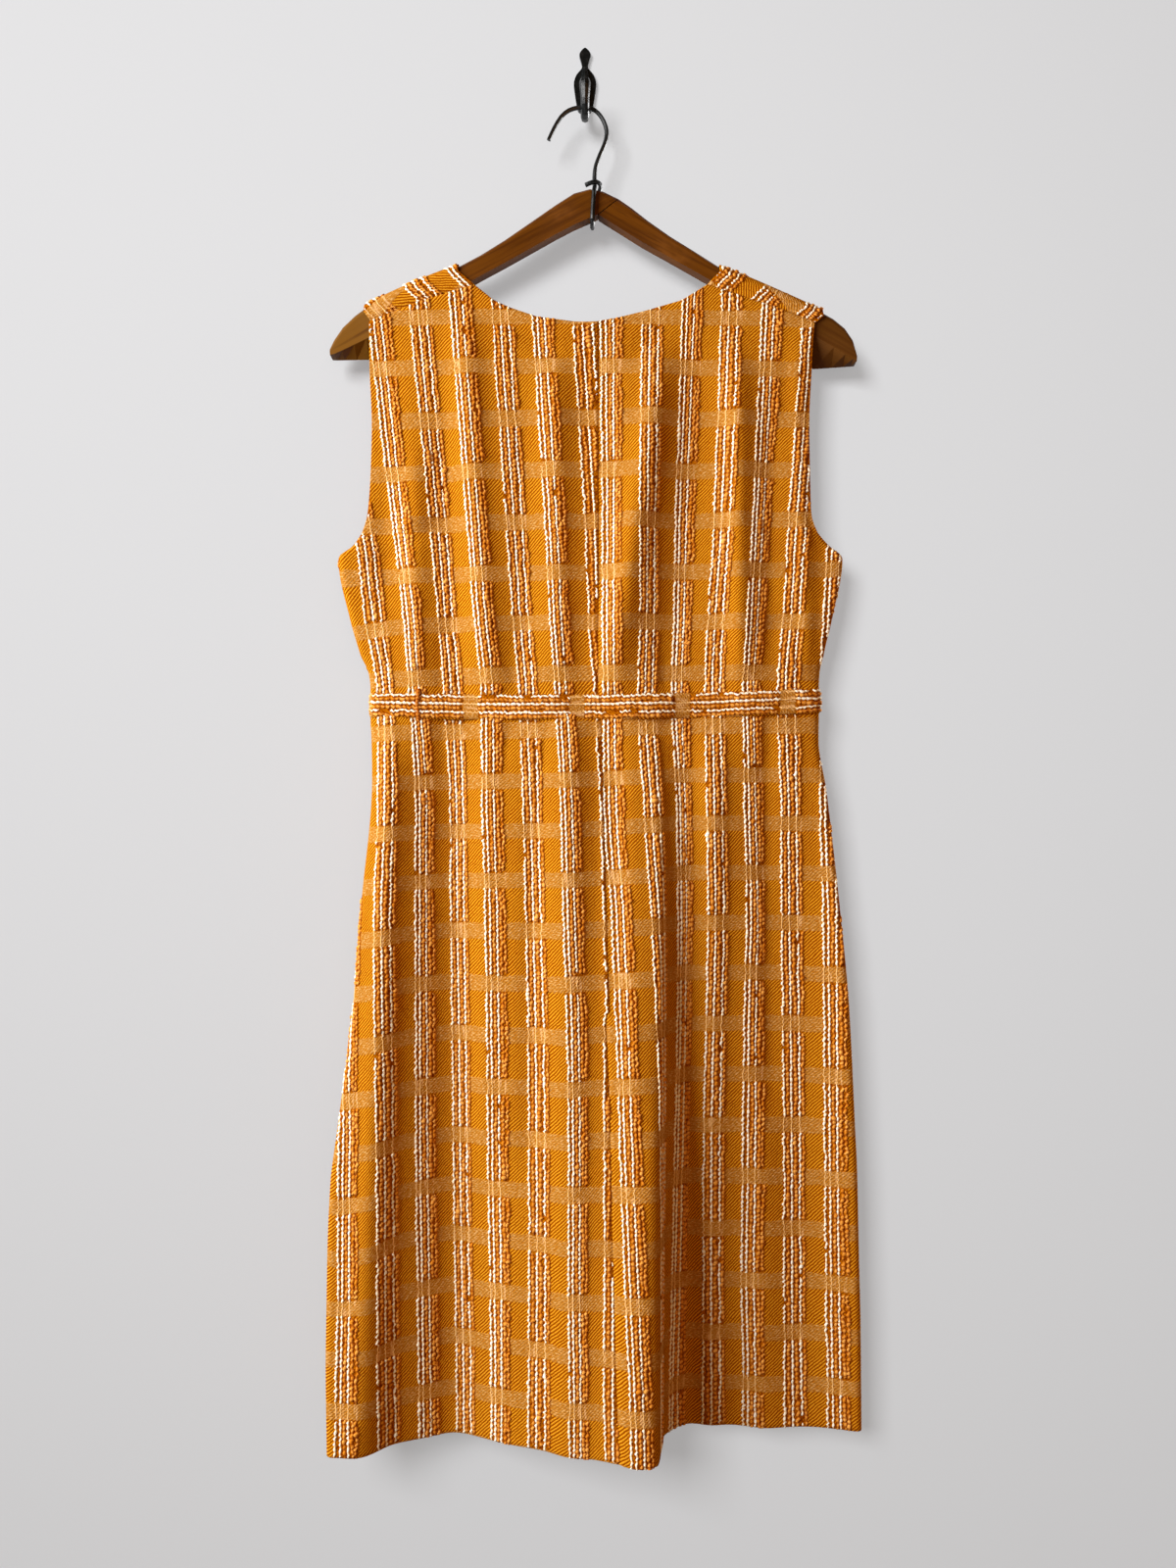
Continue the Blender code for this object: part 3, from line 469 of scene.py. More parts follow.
# the left back is drawn across the zip and lifted over it, the right back drawn in under the lap
LAP, LAP_LIFT = 2.4 * MM, 0.9 * MM
LAPS = {"left": LAP, "right": -0.4 * LAP}
LAP_LIFTS = {"left": LAP_LIFT, "right": -0.8 * LAP_LIFT}
LAP_WIDTH = 7 * MM        # how far from the seam the cloth lifts over the zip
LAP_PULL = 16 * MM        # and how far from it the cloth is drawn across
SEAM_GROOVE = 0.9 * MM
GROOVE_WIDTH = 1.8 * MM
SEAM_CLEAR = 6 * MM       # the folds die away towards the seams and the upper edge
SIDE_CLEAR = 14 * MM
TOP_CLEAR = 20 * MM
DART_DEPTH = 1.0 * MM
DART_WIDTH = 1.1 * MM


def hang_back(side):
    """Points, normals and cloth coordinates of a back panel, its columns running left to right."""
    x, z = back_grid(side)
    depth = panel_depth("back", x, z)
    u = grain_across(side, x, z)
    v = weft_along(x, z)
    away = np.abs(x - read(CENTRE_BACK, 1, z))
    zipped = ease((z - ZIP_END) / ZIP_FADE + 0.5)
    seam = np.exp(-((away / GROOVE_WIDTH) ** 2))
    lap = ease(1 - away / LAP_WIDTH) * zipped
    depth = depth + lap * LAP_LIFTS[side] - SEAM_GROOVE * seam * (1 - zipped)
    x = x + LAPS[side] * ease(1 - away / LAP_PULL) * zipped
    clear = ease(away / SEAM_CLEAR) * ease(side_reach(x, z) / SIDE_CLEAR)
    clear = clear * ease((NECK_BASE - z) / TOP_CLEAR)
    folds = creased(x, z, BACK_FOLDS, FOLD_FADE) + creased(x, z, BACK_CREASES, CREASE_FADE)
    depth = depth - folds * clear
    for dart, low, high in BACK_DARTS:
        middle = (low + high) / 2
        wide = np.clip(1 - ((z - middle) / (high - middle)) ** 2, 0, 1)
        depth = depth - DART_DEPTH * np.exp(-(((x - dart) / DART_WIDTH) ** 2)) * np.sqrt(wide)
    points = np.stack([x, -depth, z], axis=-1)
    if side == "left":
        points, u, v = points[:, ::-1], u[:, ::-1], v[:, ::-1]
    return points, normals_of(points), np.stack([u, v], axis=-1)


def node(tree, kind, inputs=None, **settings):
    """A shader node; an input that is a socket is linked, any other is its value."""
    made = tree.nodes.new(kind)
    for name, value in settings.items():
        setattr(made, name, value)
    for name, value in (inputs or {}).items():
        if isinstance(value, bpy.types.NodeSocket):
            tree.links.new(value, made.inputs[name])
        else:
            made.inputs[name].default_value = value
    return made


def sum_of(tree, operation, first, second=0.0, third=0.0):
    """A Math node's result."""
    inputs = {0: first, 1: second, 2: third}
    return node(tree, "ShaderNodeMath", inputs, operation=operation).outputs[0]


def ramp_of(tree, value, low, high, to_low=0.0, to_high=1.0):
    """value mapped smoothly from low..high to to_low..to_high."""
    inputs = {"Value": value, "From Min": low, "From Max": high, "To Min": to_low, "To Max": to_high}
    return node(
        tree, "ShaderNodeMapRange", inputs, interpolation_type="SMOOTHSTEP"
    ).outputs[0]


def mixed(tree, share, first, second):
    """Two colours mixed by a share; a colour may be a socket or a tuple."""
    first, second = (c if isinstance(c, bpy.types.NodeSocket) else (*c, 1.0) for c in (first, second))
    made = node(tree, "ShaderNodeMix", {0: share, 6: first, 7: second}, data_type="RGBA")
    return made.outputs[2]


def noise_of(tree, vector, scale, detail, **more):
    """A noise texture's value."""
    inputs = {"Vector": vector, "Scale": scale, "Detail": detail, **more}
    return node(tree, "ShaderNodeTexNoise", inputs).outputs[0]


def raised(tree, shader, height, strength, distance):
    """Bumps of a given height, in metres, on a shader's surface."""
    inputs = {"Height": height, "Strength": strength, "Distance": distance}
    bump = node(tree, "ShaderNodeBump", inputs).outputs[0]
    tree.links.new(bump, shader.inputs["Normal"])


def cloth_mm(tree):
    """The place in the cloth in millimetres: the vector, its part across and its part along."""
    uv = node(tree, "ShaderNodeUVMap", uv_map="cloth").outputs[0]
    mm = node(tree, "ShaderNodeVectorMath", {0: uv, "Scale": 1000.0}, operation="SCALE").outputs[0]
    parts = node(tree, "ShaderNodeSeparateXYZ", {0: mm}).outputs
    return mm, parts[0], parts[1]


def finish_start(name, roughness, **constants):
    """A new material, its tree and its Principled shader with constant values set on it."""
    material = bpy.data.materials.new(name)
    material.use_nodes = True
    tree = material.node_tree
    shader = tree.nodes["Principled BSDF"]
    shader.inputs["Roughness"].default_value = roughness
    for socket, value in constants.items():
        shader.inputs[socket.replace("_", " ")].default_value = value
    return material, tree, shader


# the cloth's repeat, in millimetres of cloth
WEFT_PITCH = 41.74
WEFT_START = -252.9      # centre of a band that the first kind of stripe passes under
BAND_HALF = 6.3
STRIPE_PITCH = 34.5
STRIPE_MIDDLE = 8.4
STRIPE_HALF = 10.2
GROUND = (0.47, 0.145, 0.0005)
# painted shade of the twill's grooves, also used for darker flecks and threads
GROUND_SHADE = (0.22, 0.034, 0.0002)
GROUND_YELLOW = (0.51, 0.185, 0.0008)
# painted highlight on the twill's ribs
TWILL_LIGHT = (0.74, 0.34, 0.02)
PALE_WEFT = (0.44, 0.190, 0.026)
PALE_LIGHT = (0.74, 0.45, 0.17)
# the rust-coloured ground between a stripe's cords, darkened with their painted shade
CORD_GAP_RUST_AND_SHADE = (0.20, 0.034, 0.0004)
BETWEEN = (0.42, 0.125, 0.0015)
FAINT_CORD = (0.84, 0.52, 0.24)


def woven_finish(name, pitch=WEFT_PITCH):
    """Orange twill, its ribs painted with highlights and its grooves with shade, and pale weft bands;
    between the cords of a stripe the ground is rust-coloured and darkened with painted shade.
    Positions come from the cloth's own UV map, in millimetres."""
    material, tree, shader = finish_start(name, 0.9, Specular_IOR_Level=0.0)
    mm, u, v = cloth_mm(tree)

    def noise(scale, detail=2.0, vector=mm):
        """Noise that follows the cloth."""
        return noise_of(tree, vector, scale, detail)

    def times(first, second):
        """The product of two values."""
        return sum_of(tree, "MULTIPLY", first, second)

    def stretched(x, y, turn=0.0):
        """The place in the cloth, scaled across and along, and turned in degrees."""
        inputs = {"Vector": mm, "Scale": (x, y, 1.0), "Rotation": (0, 0, math.radians(turn))}
        return node(tree, "ShaderNodeMapping", inputs).outputs[0]

    def wobble(scale, size):
        """Noise of a given size about nought."""
        return sum_of(tree, "MULTIPLY_ADD", noise(scale), size, -size / 2)

    level = sum_of(tree, "SUBTRACT", v, WEFT_START)
    uneven = sum_of(tree, "ADD", wobble(0.09, 2.2), wobble(0.5, 1.8))
    from_start = sum_of(tree, "ADD", level, uneven)
    to_band = sum_of(tree, "PINGPONG", from_start, pitch / 2)
    to_even = sum_of(tree, "PINGPONG", from_start, pitch)
    from_stripe = sum_of(tree, "ADD", sum_of(tree, "SUBTRACT", u, STRIPE_MIDDLE), wobble(0.35, 2.4))
    to_stripe = sum_of(tree, "PINGPONG", from_stripe, STRIPE_PITCH / 2)
    to_first = sum_of(tree, "PINGPONG", from_stripe, STRIPE_PITCH)
    band = ramp_of(tree, to_band, BAND_HALF + 0.7, BAND_HALF - 0.7)
    stripe = ramp_of(tree, to_stripe, STRIPE_HALF + 0.4, STRIPE_HALF - 1.8)
    first = sum_of(tree, "LESS_THAN", to_first, STRIPE_PITCH / 2)
    even = sum_of(tree, "LESS_THAN", to_even, pitch / 2)
    under = sum_of(tree, "COMPARE", first, even, 0.1)

    # ground: a steep twill, its ribs painted with highlights and its grooves with shade, and uneven
    # threads
    fleck, fine = noise(0.9, 3.0), noise(1.7, 2.0)
    turned = stretched(1.0, 1.0, 47)
    inputs = {"Vector": turned, "Scale": 0.150, "Distortion": 3.2, "Detail": 2.0, "Detail Scale": 0.6}
    twill = node(
        tree, "ShaderNodeTexWave", inputs, wave_type="BANDS", bands_direction="X",
    ).outputs[0]
    ground = mixed(tree, ramp_of(tree, noise(0.012, 3.0), 0.35, 0.65), GROUND, GROUND_YELLOW)
    ground = mixed(tree, ramp_of(tree, twill, 0.50, 0.85, 0.0, 0.9), ground, TWILL_LIGHT)
    ground = mixed(tree, ramp_of(tree, twill, 0.45, 0.08, 0.0, 0.95), ground, GROUND_SHADE)
    ground = mixed(tree, ramp_of(tree, fleck, 0.48, 0.34, 0.0, 0.7), ground, GROUND_SHADE)

    # pale weft bands: short slanted floats, paler and darker
    floats = noise(1.0, 2.0, stretched(0.35, 1.1, 14))
    pale = mixed(tree, ramp_of(tree, floats, 0.50, 0.68, 0.0, 0.85), PALE_WEFT, PALE_LIGHT)
    pale = mixed(tree, ramp_of(tree, floats, 0.46, 0.34, 0.0, 0.8), pale, BETWEEN)
    pale = mixed(tree, ramp_of(tree, fine, 0.46, 0.32, 0.0, 0.5), pale, GROUND_SHADE)
    along = noise(1.0, 2.0, stretched(0.42, 0.05))
    faint = times(times(ramp_of(tree, along, 0.54, 0.66, 0.0, 0.8), under), stripe)
    faint = times(faint, ramp_of(tree, fine, 0.35, 0.55, 0.35, 1.0))
    pale = mixed(tree, faint, pale, FAINT_CORD)

    # between the cords of a stripe: a rust-coloured ground with the painted shade of the cords on it
    clump = noise(0.55, 3.0, stretched(1.0, 0.55))
    gap_rust_and_shade = mixed(tree, ramp_of(tree, clump, 0.38, 0.60), CORD_GAP_RUST_AND_SHADE, BETWEEN)
    gap_rust_and_shade = mixed(tree, ramp_of(tree, fleck, 0.56, 0.72, 0.0, 0.6), gap_rust_and_shade, GROUND_YELLOW)
    covered = times(stripe, sum_of(tree, "SUBTRACT", 1.0, band))
    over = times(stripe, sum_of(tree, "SUBTRACT", 1.0, under))
    colour = mixed(tree, times(band, 0.9), ground, pale)
    colour = mixed(tree, sum_of(tree, "MAXIMUM", covered, over), colour, gap_rust_and_shade)
    tree.links.new(colour, shader.inputs["Base Color"])

    height = sum_of(tree, "MULTIPLY_ADD", twill, 0.5, times(fleck, 0.6))
    height = sum_of(tree, "MULTIPLY_ADD", times(floats, band), 0.8, height)
    raised(tree, shader, height, 0.7, 0.0007)
    return material


cloth_finish = woven_finish("plaid_boucle_cotton")
backs = {}
for side in ("left", "right"):
    points, normal, uv = hang_back(side)
    backs[side] = (points, normal, uv)
    sheet = points[::2]
    index = np.arange(sheet[..., 0].size).reshape(sheet.shape[:2])
    panel = cloth_shell("back_panel_" + side, sheet, quads_of(index), uv[::2])
    made_of(panel, cloth_finish, "back_" + side)


# ---------------------------------------------------------------------------------------------
# The cords of the stripes: thick boucle yarns, white and orange, that float on the cloth between
# the pale bands. At every second band a stripe's cords pass under the weft and only show faintly.

# one stripe of each kind: place in mm across the cloth, colour, half width, wander, knots
CORD = np.dtype([
    ("across", float), ("white", bool), ("half", float), ("wander", float), ("knots", float),
    ("breaks", float), ("under", int),
])
FIRST_STRIPE = np.array([
    (0.0, True, 0.95, 0.5, 0.7, 0.05, 0), (4.0, True, 0.95, 0.18, 0.2, 0, 0),
    (7.4, False, 1.2, 0.5, 0.7, 0, 0), (10.1, True, 0.95, 0.25, 0.3, 0.04, 0),
    (13.4, False, 1.3, 0.7, 0.8, 0, 0), (16.6, False, 1.2, 0.9, 1.0, 0, 0),
], dtype=CORD)
SECOND_STRIPE = np.array([
    (0.0, True, 0.95, 0.55, 0.7, 0.06, 0), (3.5, False, 1.2, 0.6, 0.7, 0, 0),
    (6.7, True, 1.0, 0.18, 0.2, 0, 0), (10.1, False, 1.35, 0.8, 1.0, 0, 0),
    (13.8, True, 0.95, 0.5, 0.7, 0.06, 0), (16.8, False, 1.15, 0.6, 0.8, 0, 0),
], dtype=CORD)
BEAD = 0.28               # share by which a cord swells and narrows from twist to twist
ZIGZAG = 0.55 * MM        # how far each twist steps sideways
JOG_TWIST, JOG_CHANCE = 0.7, 0.9   # how much of a step follows the twist, and how much is chance
STRAIGHTEST = 0.6         # share of the steps that a cord with no wander takes
WANDER_SLOW, WANDER_QUICK = 0.75, 0.6
TWIST_TURN = math.radians(128)   # turn of the twist from row to row
TWIST_CHANCE = 1.0        # radians by which that turn varies
WIDTH_CHANCE = 0.2        # share by which the width varies from row to row
KNOT_FROM, KNOT_SWELL = 0.45, 0.9  # a knot or slub is where smooth noise passes a level
SLUB_FROM, SLUB_SWELL = 0.86, 7.0
END_TAPER = 0.45
THINNEST, THIN_SHARE = 0.25, 0.4   # width under a band: the least, and how it goes with its own
TUBE_CORNERS = {3: (-25, 90, 205), 4: (-28, 50, 130, 208)}   # degrees up from the cloth
TUBE_HIGH, TUBE_WIDE = 0.95, 1.05
SUNK = 0.32 * MM          # how deep the cords lie under a band
BAND_OVER = 0.3           # mm of a cord that a band covers past its own edges, and how ragged they are
BAND_RAGGED = 0.8
# the cord finish paints its flank shade where this coordinate nears a cord's sides
FLANK = 1.6               # first cloth coordinate, in mm, at a cord's sides, and under a band
COVERED = 2.6
CORD_APART = 20 * math.pi   # from cord to cord in the second one, so that no two look alike
UNDER_BAND = (0.78, 0.48, 0.19)


def cord_finish(name, colour, tip, shade, painted_flank_shade):
    """Loosely twisted cotton yarn, paler in slow patches along it. Light and shade are painted on: the
    crowns keep the bright colour, the flanks take a painted shade warmed by the cloth beside them, and
    painted shade darkens the joints between the twists and flecks of its fluff."""
    material, tree, shader = finish_start(name, 0.9, Specular_IOR_Level=0.08)
    mm, across, turn = cloth_mm(tree)
    around = sum_of(tree, "ABSOLUTE", across)
    twist = sum_of(tree, "COSINE", turn)
    fluff = noise_of(tree, mm, 0.8, 3.0)
    slow = noise_of(tree, mm, 0.05, 2.0)
    # painted shade where the twists meet
    painted_joint_shade = ramp_of(tree, twist, 0.1, -0.9, 0.0, 0.7)
    base = mixed(tree, ramp_of(tree, slow, 0.4, 0.62), colour, tip)
    # painted shade on the flanks, warmed by the cloth beside them
    base = mixed(tree, ramp_of(tree, around, 0.75, 1.6, 0.0, 0.9), base, painted_flank_shade)
    base = mixed(tree, ramp_of(tree, around, 1.7, 2.4, 0.0, 0.9), base, UNDER_BAND)
    base = mixed(tree, painted_joint_shade, base, shade)
    base = mixed(tree, ramp_of(tree, fluff, 0.44, 0.30, 0.0, 0.6), base, shade)
    tree.links.new(base, shader.inputs["Base Color"])
    raised(tree, shader, fluff, 0.6, 0.0007)
    return material


# each yarn: its colour, a paler tint in slow patches, its painted shade, and the painted warm shade of
# its flanks
white_cord = cord_finish(
    "white_boucle_cord", (1.0, 0.98, 0.82), (1.0, 1.0, 0.92), (0.84, 0.52, 0.19), (0.88, 0.56, 0.20)
)
orange_cord = cord_finish(
    "orange_boucle_cord", (0.66, 0.225, 0.014), (0.86, 0.41, 0.08), (0.26, 0.042, 0.001),
    (0.36, 0.075, 0.002),
)


def wandering(random, rows, cords, every):
    """Smooth noise down each cord: random values every few rows, joined by smooth steps."""
    knots = random.uniform(-1, 1, (rows // every + 3, cords))
    at = np.arange(rows) / every
    low = at.astype(int)
    share = ease(at - low)[:, None]
    return knots[low] * (1 - share) + knots[low + 1] * share


def stripes_between(low, high, white):
    """The white or the orange cords of every stripe from low to high across the cloth."""
    found = []
    for number in range(math.floor(low / STRIPE) - 1, math.ceil(high / STRIPE) + 1):
        kind = (FIRST_STRIPE, SECOND_STRIPE)[number % 2]
        cords = kind[kind["white"] == white].copy()
        cords["across"] = number * STRIPE + cords["across"] * MM
        cords["under"] = number % 2
        found.append(cords)
    return np.concatenate(found)


def cord_paths(random, points, normal, uv, cords):
    """Where each cord runs, row by row: its place across the cloth, its middle, its outward and
    sideways directions, its place along the cloth, and its twist. It wanders from its own thread
    slowly and quickly, and steps aside with the sine of its twist and by chance."""
    u = uv[..., 0]
    rows, count = len(points), len(cords)
    slow, quick = wandering(random, rows, count, 9), wandering(random, rows, count, 3)
    turn = TWIST_TURN + random.uniform(-TWIST_CHANCE, TWIST_CHANCE, (rows, count))
    twist = turn.cumsum(axis=0)
    twist = twist + random.uniform(0, 2 * math.pi, count)
    jog = JOG_TWIST * np.sin(twist) + random.uniform(-JOG_CHANCE, JOG_CHANCE, (rows, count))
    place = cords["across"] + cords["wander"] * MM * (WANDER_SLOW * slow + WANDER_QUICK * quick)
    place = place + jog * ZIGZAG * (STRAIGHTEST + cords["wander"])
    column = np.arange(u.shape[1])[None, :] * np.ones((rows, 1))
    at = by_row(place, u, column)
    low = np.clip(at.astype(int), 0, u.shape[1] - 2)
    share = (at - low)[..., None]
    row = np.arange(rows)[:, None]

    def between(grid):
        """The grid's value between the columns on either side of each cord."""
        return grid[row, low] * (1 - share) + grid[row, low + 1] * share

    sideways = points[row, low + 1] - points[row, low]
    sideways /= np.maximum(np.linalg.norm(sideways, axis=2, keepdims=True), 1e-9)
    along = between(uv[..., 1:])[..., 0]
    return place, between(points), between(normal), sideways, along, twist


def cord_gaps(random, cords, place, middle, along, u, edge, pitch, cover):
    """Which rows of each cord show, and which lie under a band. A cord is left out where it breaks
    off, passes under the cover or leaves the cloth, and an orange one under a band too."""
    index = (along / MM - WEFT_START) / pitch
    to_band = np.abs(index - np.round(index)) * pitch
    ragged = random.uniform(-BAND_RAGGED, BAND_RAGGED, place.shape)
    under = (to_band < BAND_HALF + BAND_OVER + ragged) & (np.round(index) % 2 == cords["under"])
    inside = (place > u[:, :1] + edge) & (place < u[:, -1:] - edge)
    broken = wandering(random, *place.shape, 5) > 1 - cords["breaks"]
    shown = inside & ~broken & (cords["white"] | ~under)
    if cover is not None:
        shown &= (middle[..., 2] < cover[0]) | (middle[..., 2] > cover[1])
    return shown, under


def cord_widths(random, cords, twist, shown, under):
    """Half width of each cord: it swells with the cosine of its twist, in knots and in a few slubs,
    is thin under a band, and tapers at its ends."""
    knot = np.clip(wandering(random, *shown.shape, 4) - KNOT_FROM, 0, 1) * cords["knots"]
    slub = np.clip(wandering(random, *shown.shape, 5) - SLUB_FROM, 0, 1)
    slub = slub * SLUB_SWELL * (cords["knots"] > KNOT_FROM)
    chance = random.uniform(-WIDTH_CHANCE, WIDTH_CHANCE, shown.shape)
    width = 1 + BEAD * np.cos(twist) + KNOT_SWELL * knot + slub + chance
    width = cords["half"] * MM * np.where(under, THINNEST + THIN_SHARE * width, width)
    ends = shown & ~(np.roll(shown, 1, 0) & np.roll(shown, -1, 0))
    return np.where(ends, END_TAPER * width, width)


def closed_tubes(shown, corners):
    """Rings that a tube needs, and its faces: each two neighbouring rows of a cord that show are
    joined all round, and a cap closes each end."""
    linked = shown[:-1] & shown[1:]
    keep = np.zeros_like(shown)
    keep[:-1] |= linked
    keep[1:] |= linked
    number = np.full(shown.shape, -1)
    number[keep] = np.arange(keep.sum())
    r, c = np.nonzero(linked)
    corner = np.arange(corners)
    base, above = (number[row, c][:, None] * corners + corner for row in (r, r + 1))
    sides = np.stack([base, above, np.roll(above, -1, 1), np.roll(base, -1, 1)], -1).reshape(-1, 4)
    none = np.zeros((1, shown.shape[1]), bool)
    starts = linked & ~np.concatenate([none, linked[:-1]])
    stops = linked & ~np.concatenate([linked[1:], none])
    caps = np.concatenate([
        number[:-1][starts][:, None] * corners + corner,
        number[1:][stops][:, None] * corners + corner[::-1],
    ])
    return keep, sides.tolist() + caps.tolist()


def lay_cords(points, normal, uv, cords, seed, corners=4, edge=0.3 * MM, pitch=WEFT_PITCH, cover=None):
    """Points, faces and cloth coordinates of cords on a grid of cloth: each is a closed tube of a
    few corners that stands on the cloth's outer face and sinks a little under a band. Its
    coordinates are the place round it and its twist."""
    random = np.random.default_rng(seed)
    place, middle, outward, sideways, along, twist = cord_paths(random, points, normal, uv, cords)
    shown, under = cord_gaps(random, cords, place, middle, along, uv[..., 0], edge, pitch, cover)
    width = cord_widths(random, cords, twist, shown, under)[..., None, None]
    angle = np.radians(TUBE_CORNERS[corners])[:, None]
    raise_by = CLOTH_OUT - SUNK * under[..., None, None] + width * TUBE_HIGH * np.sin(angle)
    ring = (
        middle[..., None, :]
        + outward[..., None, :] * raise_by
        + sideways[..., None, :] * (width * TUBE_WIDE * np.cos(angle))
    )
    keep, faces = closed_tubes(shown, corners)
    around = np.where(under[..., None], COVERED, np.linspace(-FLANK, FLANK, corners)) * MM
    run = (twist + CORD_APART * np.arange(len(cords)))[..., None] * MM
    flat = np.stack([around, np.broadcast_to(run, ring.shape[:3])], axis=-1)[keep]
    return ring[keep].reshape(-1, 3), faces, flat


def cord_piece(name, laid, finish):
    """The object of laid cords."""
    return made_of(new_piece(name, *laid), finish)


UNDER_BELT = np.array([-537.5, -523.5]) * MM
cords_on = {"left": [], "right": []}
for side in ("left", "right"):
    points, normal, uv = backs[side]
    for colour, finish, seed in (("white", white_cord, 3), ("orange", orange_cord, 5)):
        cords = stripes_between(uv[..., 0].min(), uv[..., 0].max(), colour == "white")
        laid = lay_cords(points, normal, uv, cords, seed + len(side), cover=UNDER_BELT)
        cords_on[side].append(cord_piece(f"{colour}_cords_{side}", laid, finish))


# ---------------------------------------------------------------------------------------------
# The front of the dress: one panel cut on the fold, with a scooped neckline. It hangs between the
# back and the wall, goes over the wooden arms, and ends in the shoulder seams on the back.

CENTRE_FRONT = 6 * MM
FRONT_SPAN = (-0.235, 0.255)   # past its widest edges, where distances along it are measured
FRONT_POINTS = 260
SCOOP = -292 * MM
FRONT_COLUMN_STEP = 4.4 * MM
# the fold over the hanger and the seam below it: fold at the neck x, z, at the armhole x, z; seam
# at the neck x, at the armhole x; rise of the fold's middle
SHOULDERS = {
    "left": np.array([-104.6, -164.9, -181.6, -198.1, -91.0, -175.8, 1.6]) * MM,
    "right": np.array([111.2, -165.3, 195.7, -202.2, 100.8, 189.3, 0.6]) * MM,
}
SEAM_DIP = 1.2 * MM
DIP_WIDTH = 2.2 * MM
FOLD_OVER = 1 * MM        # the fold's middle above the end of its round
SCOOP_CLEAR = 30 * MM     # the folds die away towards the scoop
FOLD_ROWS = 16            # rows of points over the hanger, and from there down to the seam
SEAM_ROWS = 14
FRONT_SHIFT = np.array([-11.7, 8.0]) * MM   # where the chart of stripes and bands starts on it
CORDS_HALF = 0.24         # how far from the centre front its cords reach
# its folds and creases, as on the back: a negative depth is a ridge towards the wall
FRONT_FOLDS = np.array([
    (-150, -560, -160, -1110, 16.0, -4.4), (-98, -570, -104, -1000, 12.0, 3.8),
    (-52, -560, -58, -1150, 14.0, -4.2), (-12, -640, -20, -1150, 18.0, 5.0),
    (38, -556, 30, -980, 10.0, -3.2), (86, -590, 96, -1150, 16.0, 4.4),
    (132, -560, 138, -1150, 13.0, -4.0), (176, -660, 186, -1130, 16.0, 3.6),
    (-128, -330, -112, -505, 11.0, -3.6), (-70, -335, -60, -500, 13.0, 4.0),
    (4, -350, 2, -505, 12.0, -3.0), (72, -330, 58, -500, 12.0, 3.6),
    (128, -315, 118, -505, 11.0, -3.8),
]) * MM
FRONT_CREASES = np.array([
    (-172, -398, -128, -372, 7.0, 1.3), (-180, -446, -138, -468, 8.0, 1.1),
    (180, -402, 140, -374, 7.0, 1.2), (186, -450, 146, -474, 8.0, 1.0),
    (-92, -486, -90, -514, 4.0, 1.0), (-93, -545, -96, -586, 4.0, 0.9),
    (-26, -545, -30, -580, 3.5, 0.9), (48, -545, 52, -584, 4.0, 1.0),
    (100, -488, 97, -514, 4.0, 0.9), (112, -545, 117, -578, 3.5, 0.8),
    (24, -492, 22, -515, 3.5, 0.8), (-150, -545, -152, -574, 3.5, 0.8),
]) * MM


def front_across(x, z):
    """Distance of each point from the centre front along the cloth, row by row."""
    level = z.mean(axis=1)[:, None]
    fine = np.linspace(*FRONT_SPAN, FRONT_POINTS) * np.ones((len(z), 1))
    inside = np.clip(fine, side_x("left", level), side_x("right", level))
    depth = panel_depth("front", inside, np.minimum(level, SHOULDER))
    run = np.hypot(np.diff(fine), np.diff(depth)).cumsum(axis=1)
    run = np.concatenate([np.zeros((len(run), 1)), run], axis=1)
    return by_row(x, fine, run) - by_row(np.full((len(x), 1), CENTRE_FRONT), fine, run)


def front_below(side):
    """x and height of one half of the front up to the scoop, columns outwards from the centre."""
    sign = -1 if side == "left" else 1
    reach = abs(side_x(side, WAIST) - CENTRE_FRONT) - SIDE_CURVE
    shares = np.linspace(0, 1, round(reach / FRONT_COLUMN_STEP) + 1)
    places = column_places("front", side, CENTRE_FRONT, shares)
    rows = 2 * round((SCOOP - HEM) / ROW_STEP / 4) + 1
    z = np.linspace(HEM, SCOOP, rows)[:, None] * np.ones(places.shape[1])
    return place_at(places, z), z


def front_depth(x, z):
    """Depth of the front below the scoop: the panel's own, with its folds and creases, which die
    away towards the side seams and the scoop."""
    clear = ease(side_reach(x, z) / SIDE_CLEAR) * ease((SCOOP - z) / SCOOP_CLEAR)
    folds = creased(x, z, FRONT_FOLDS, FOLD_FADE) + creased(x, z, FRONT_CREASES, CREASE_FADE)
    return panel_depth("front", x, z) + folds * clear


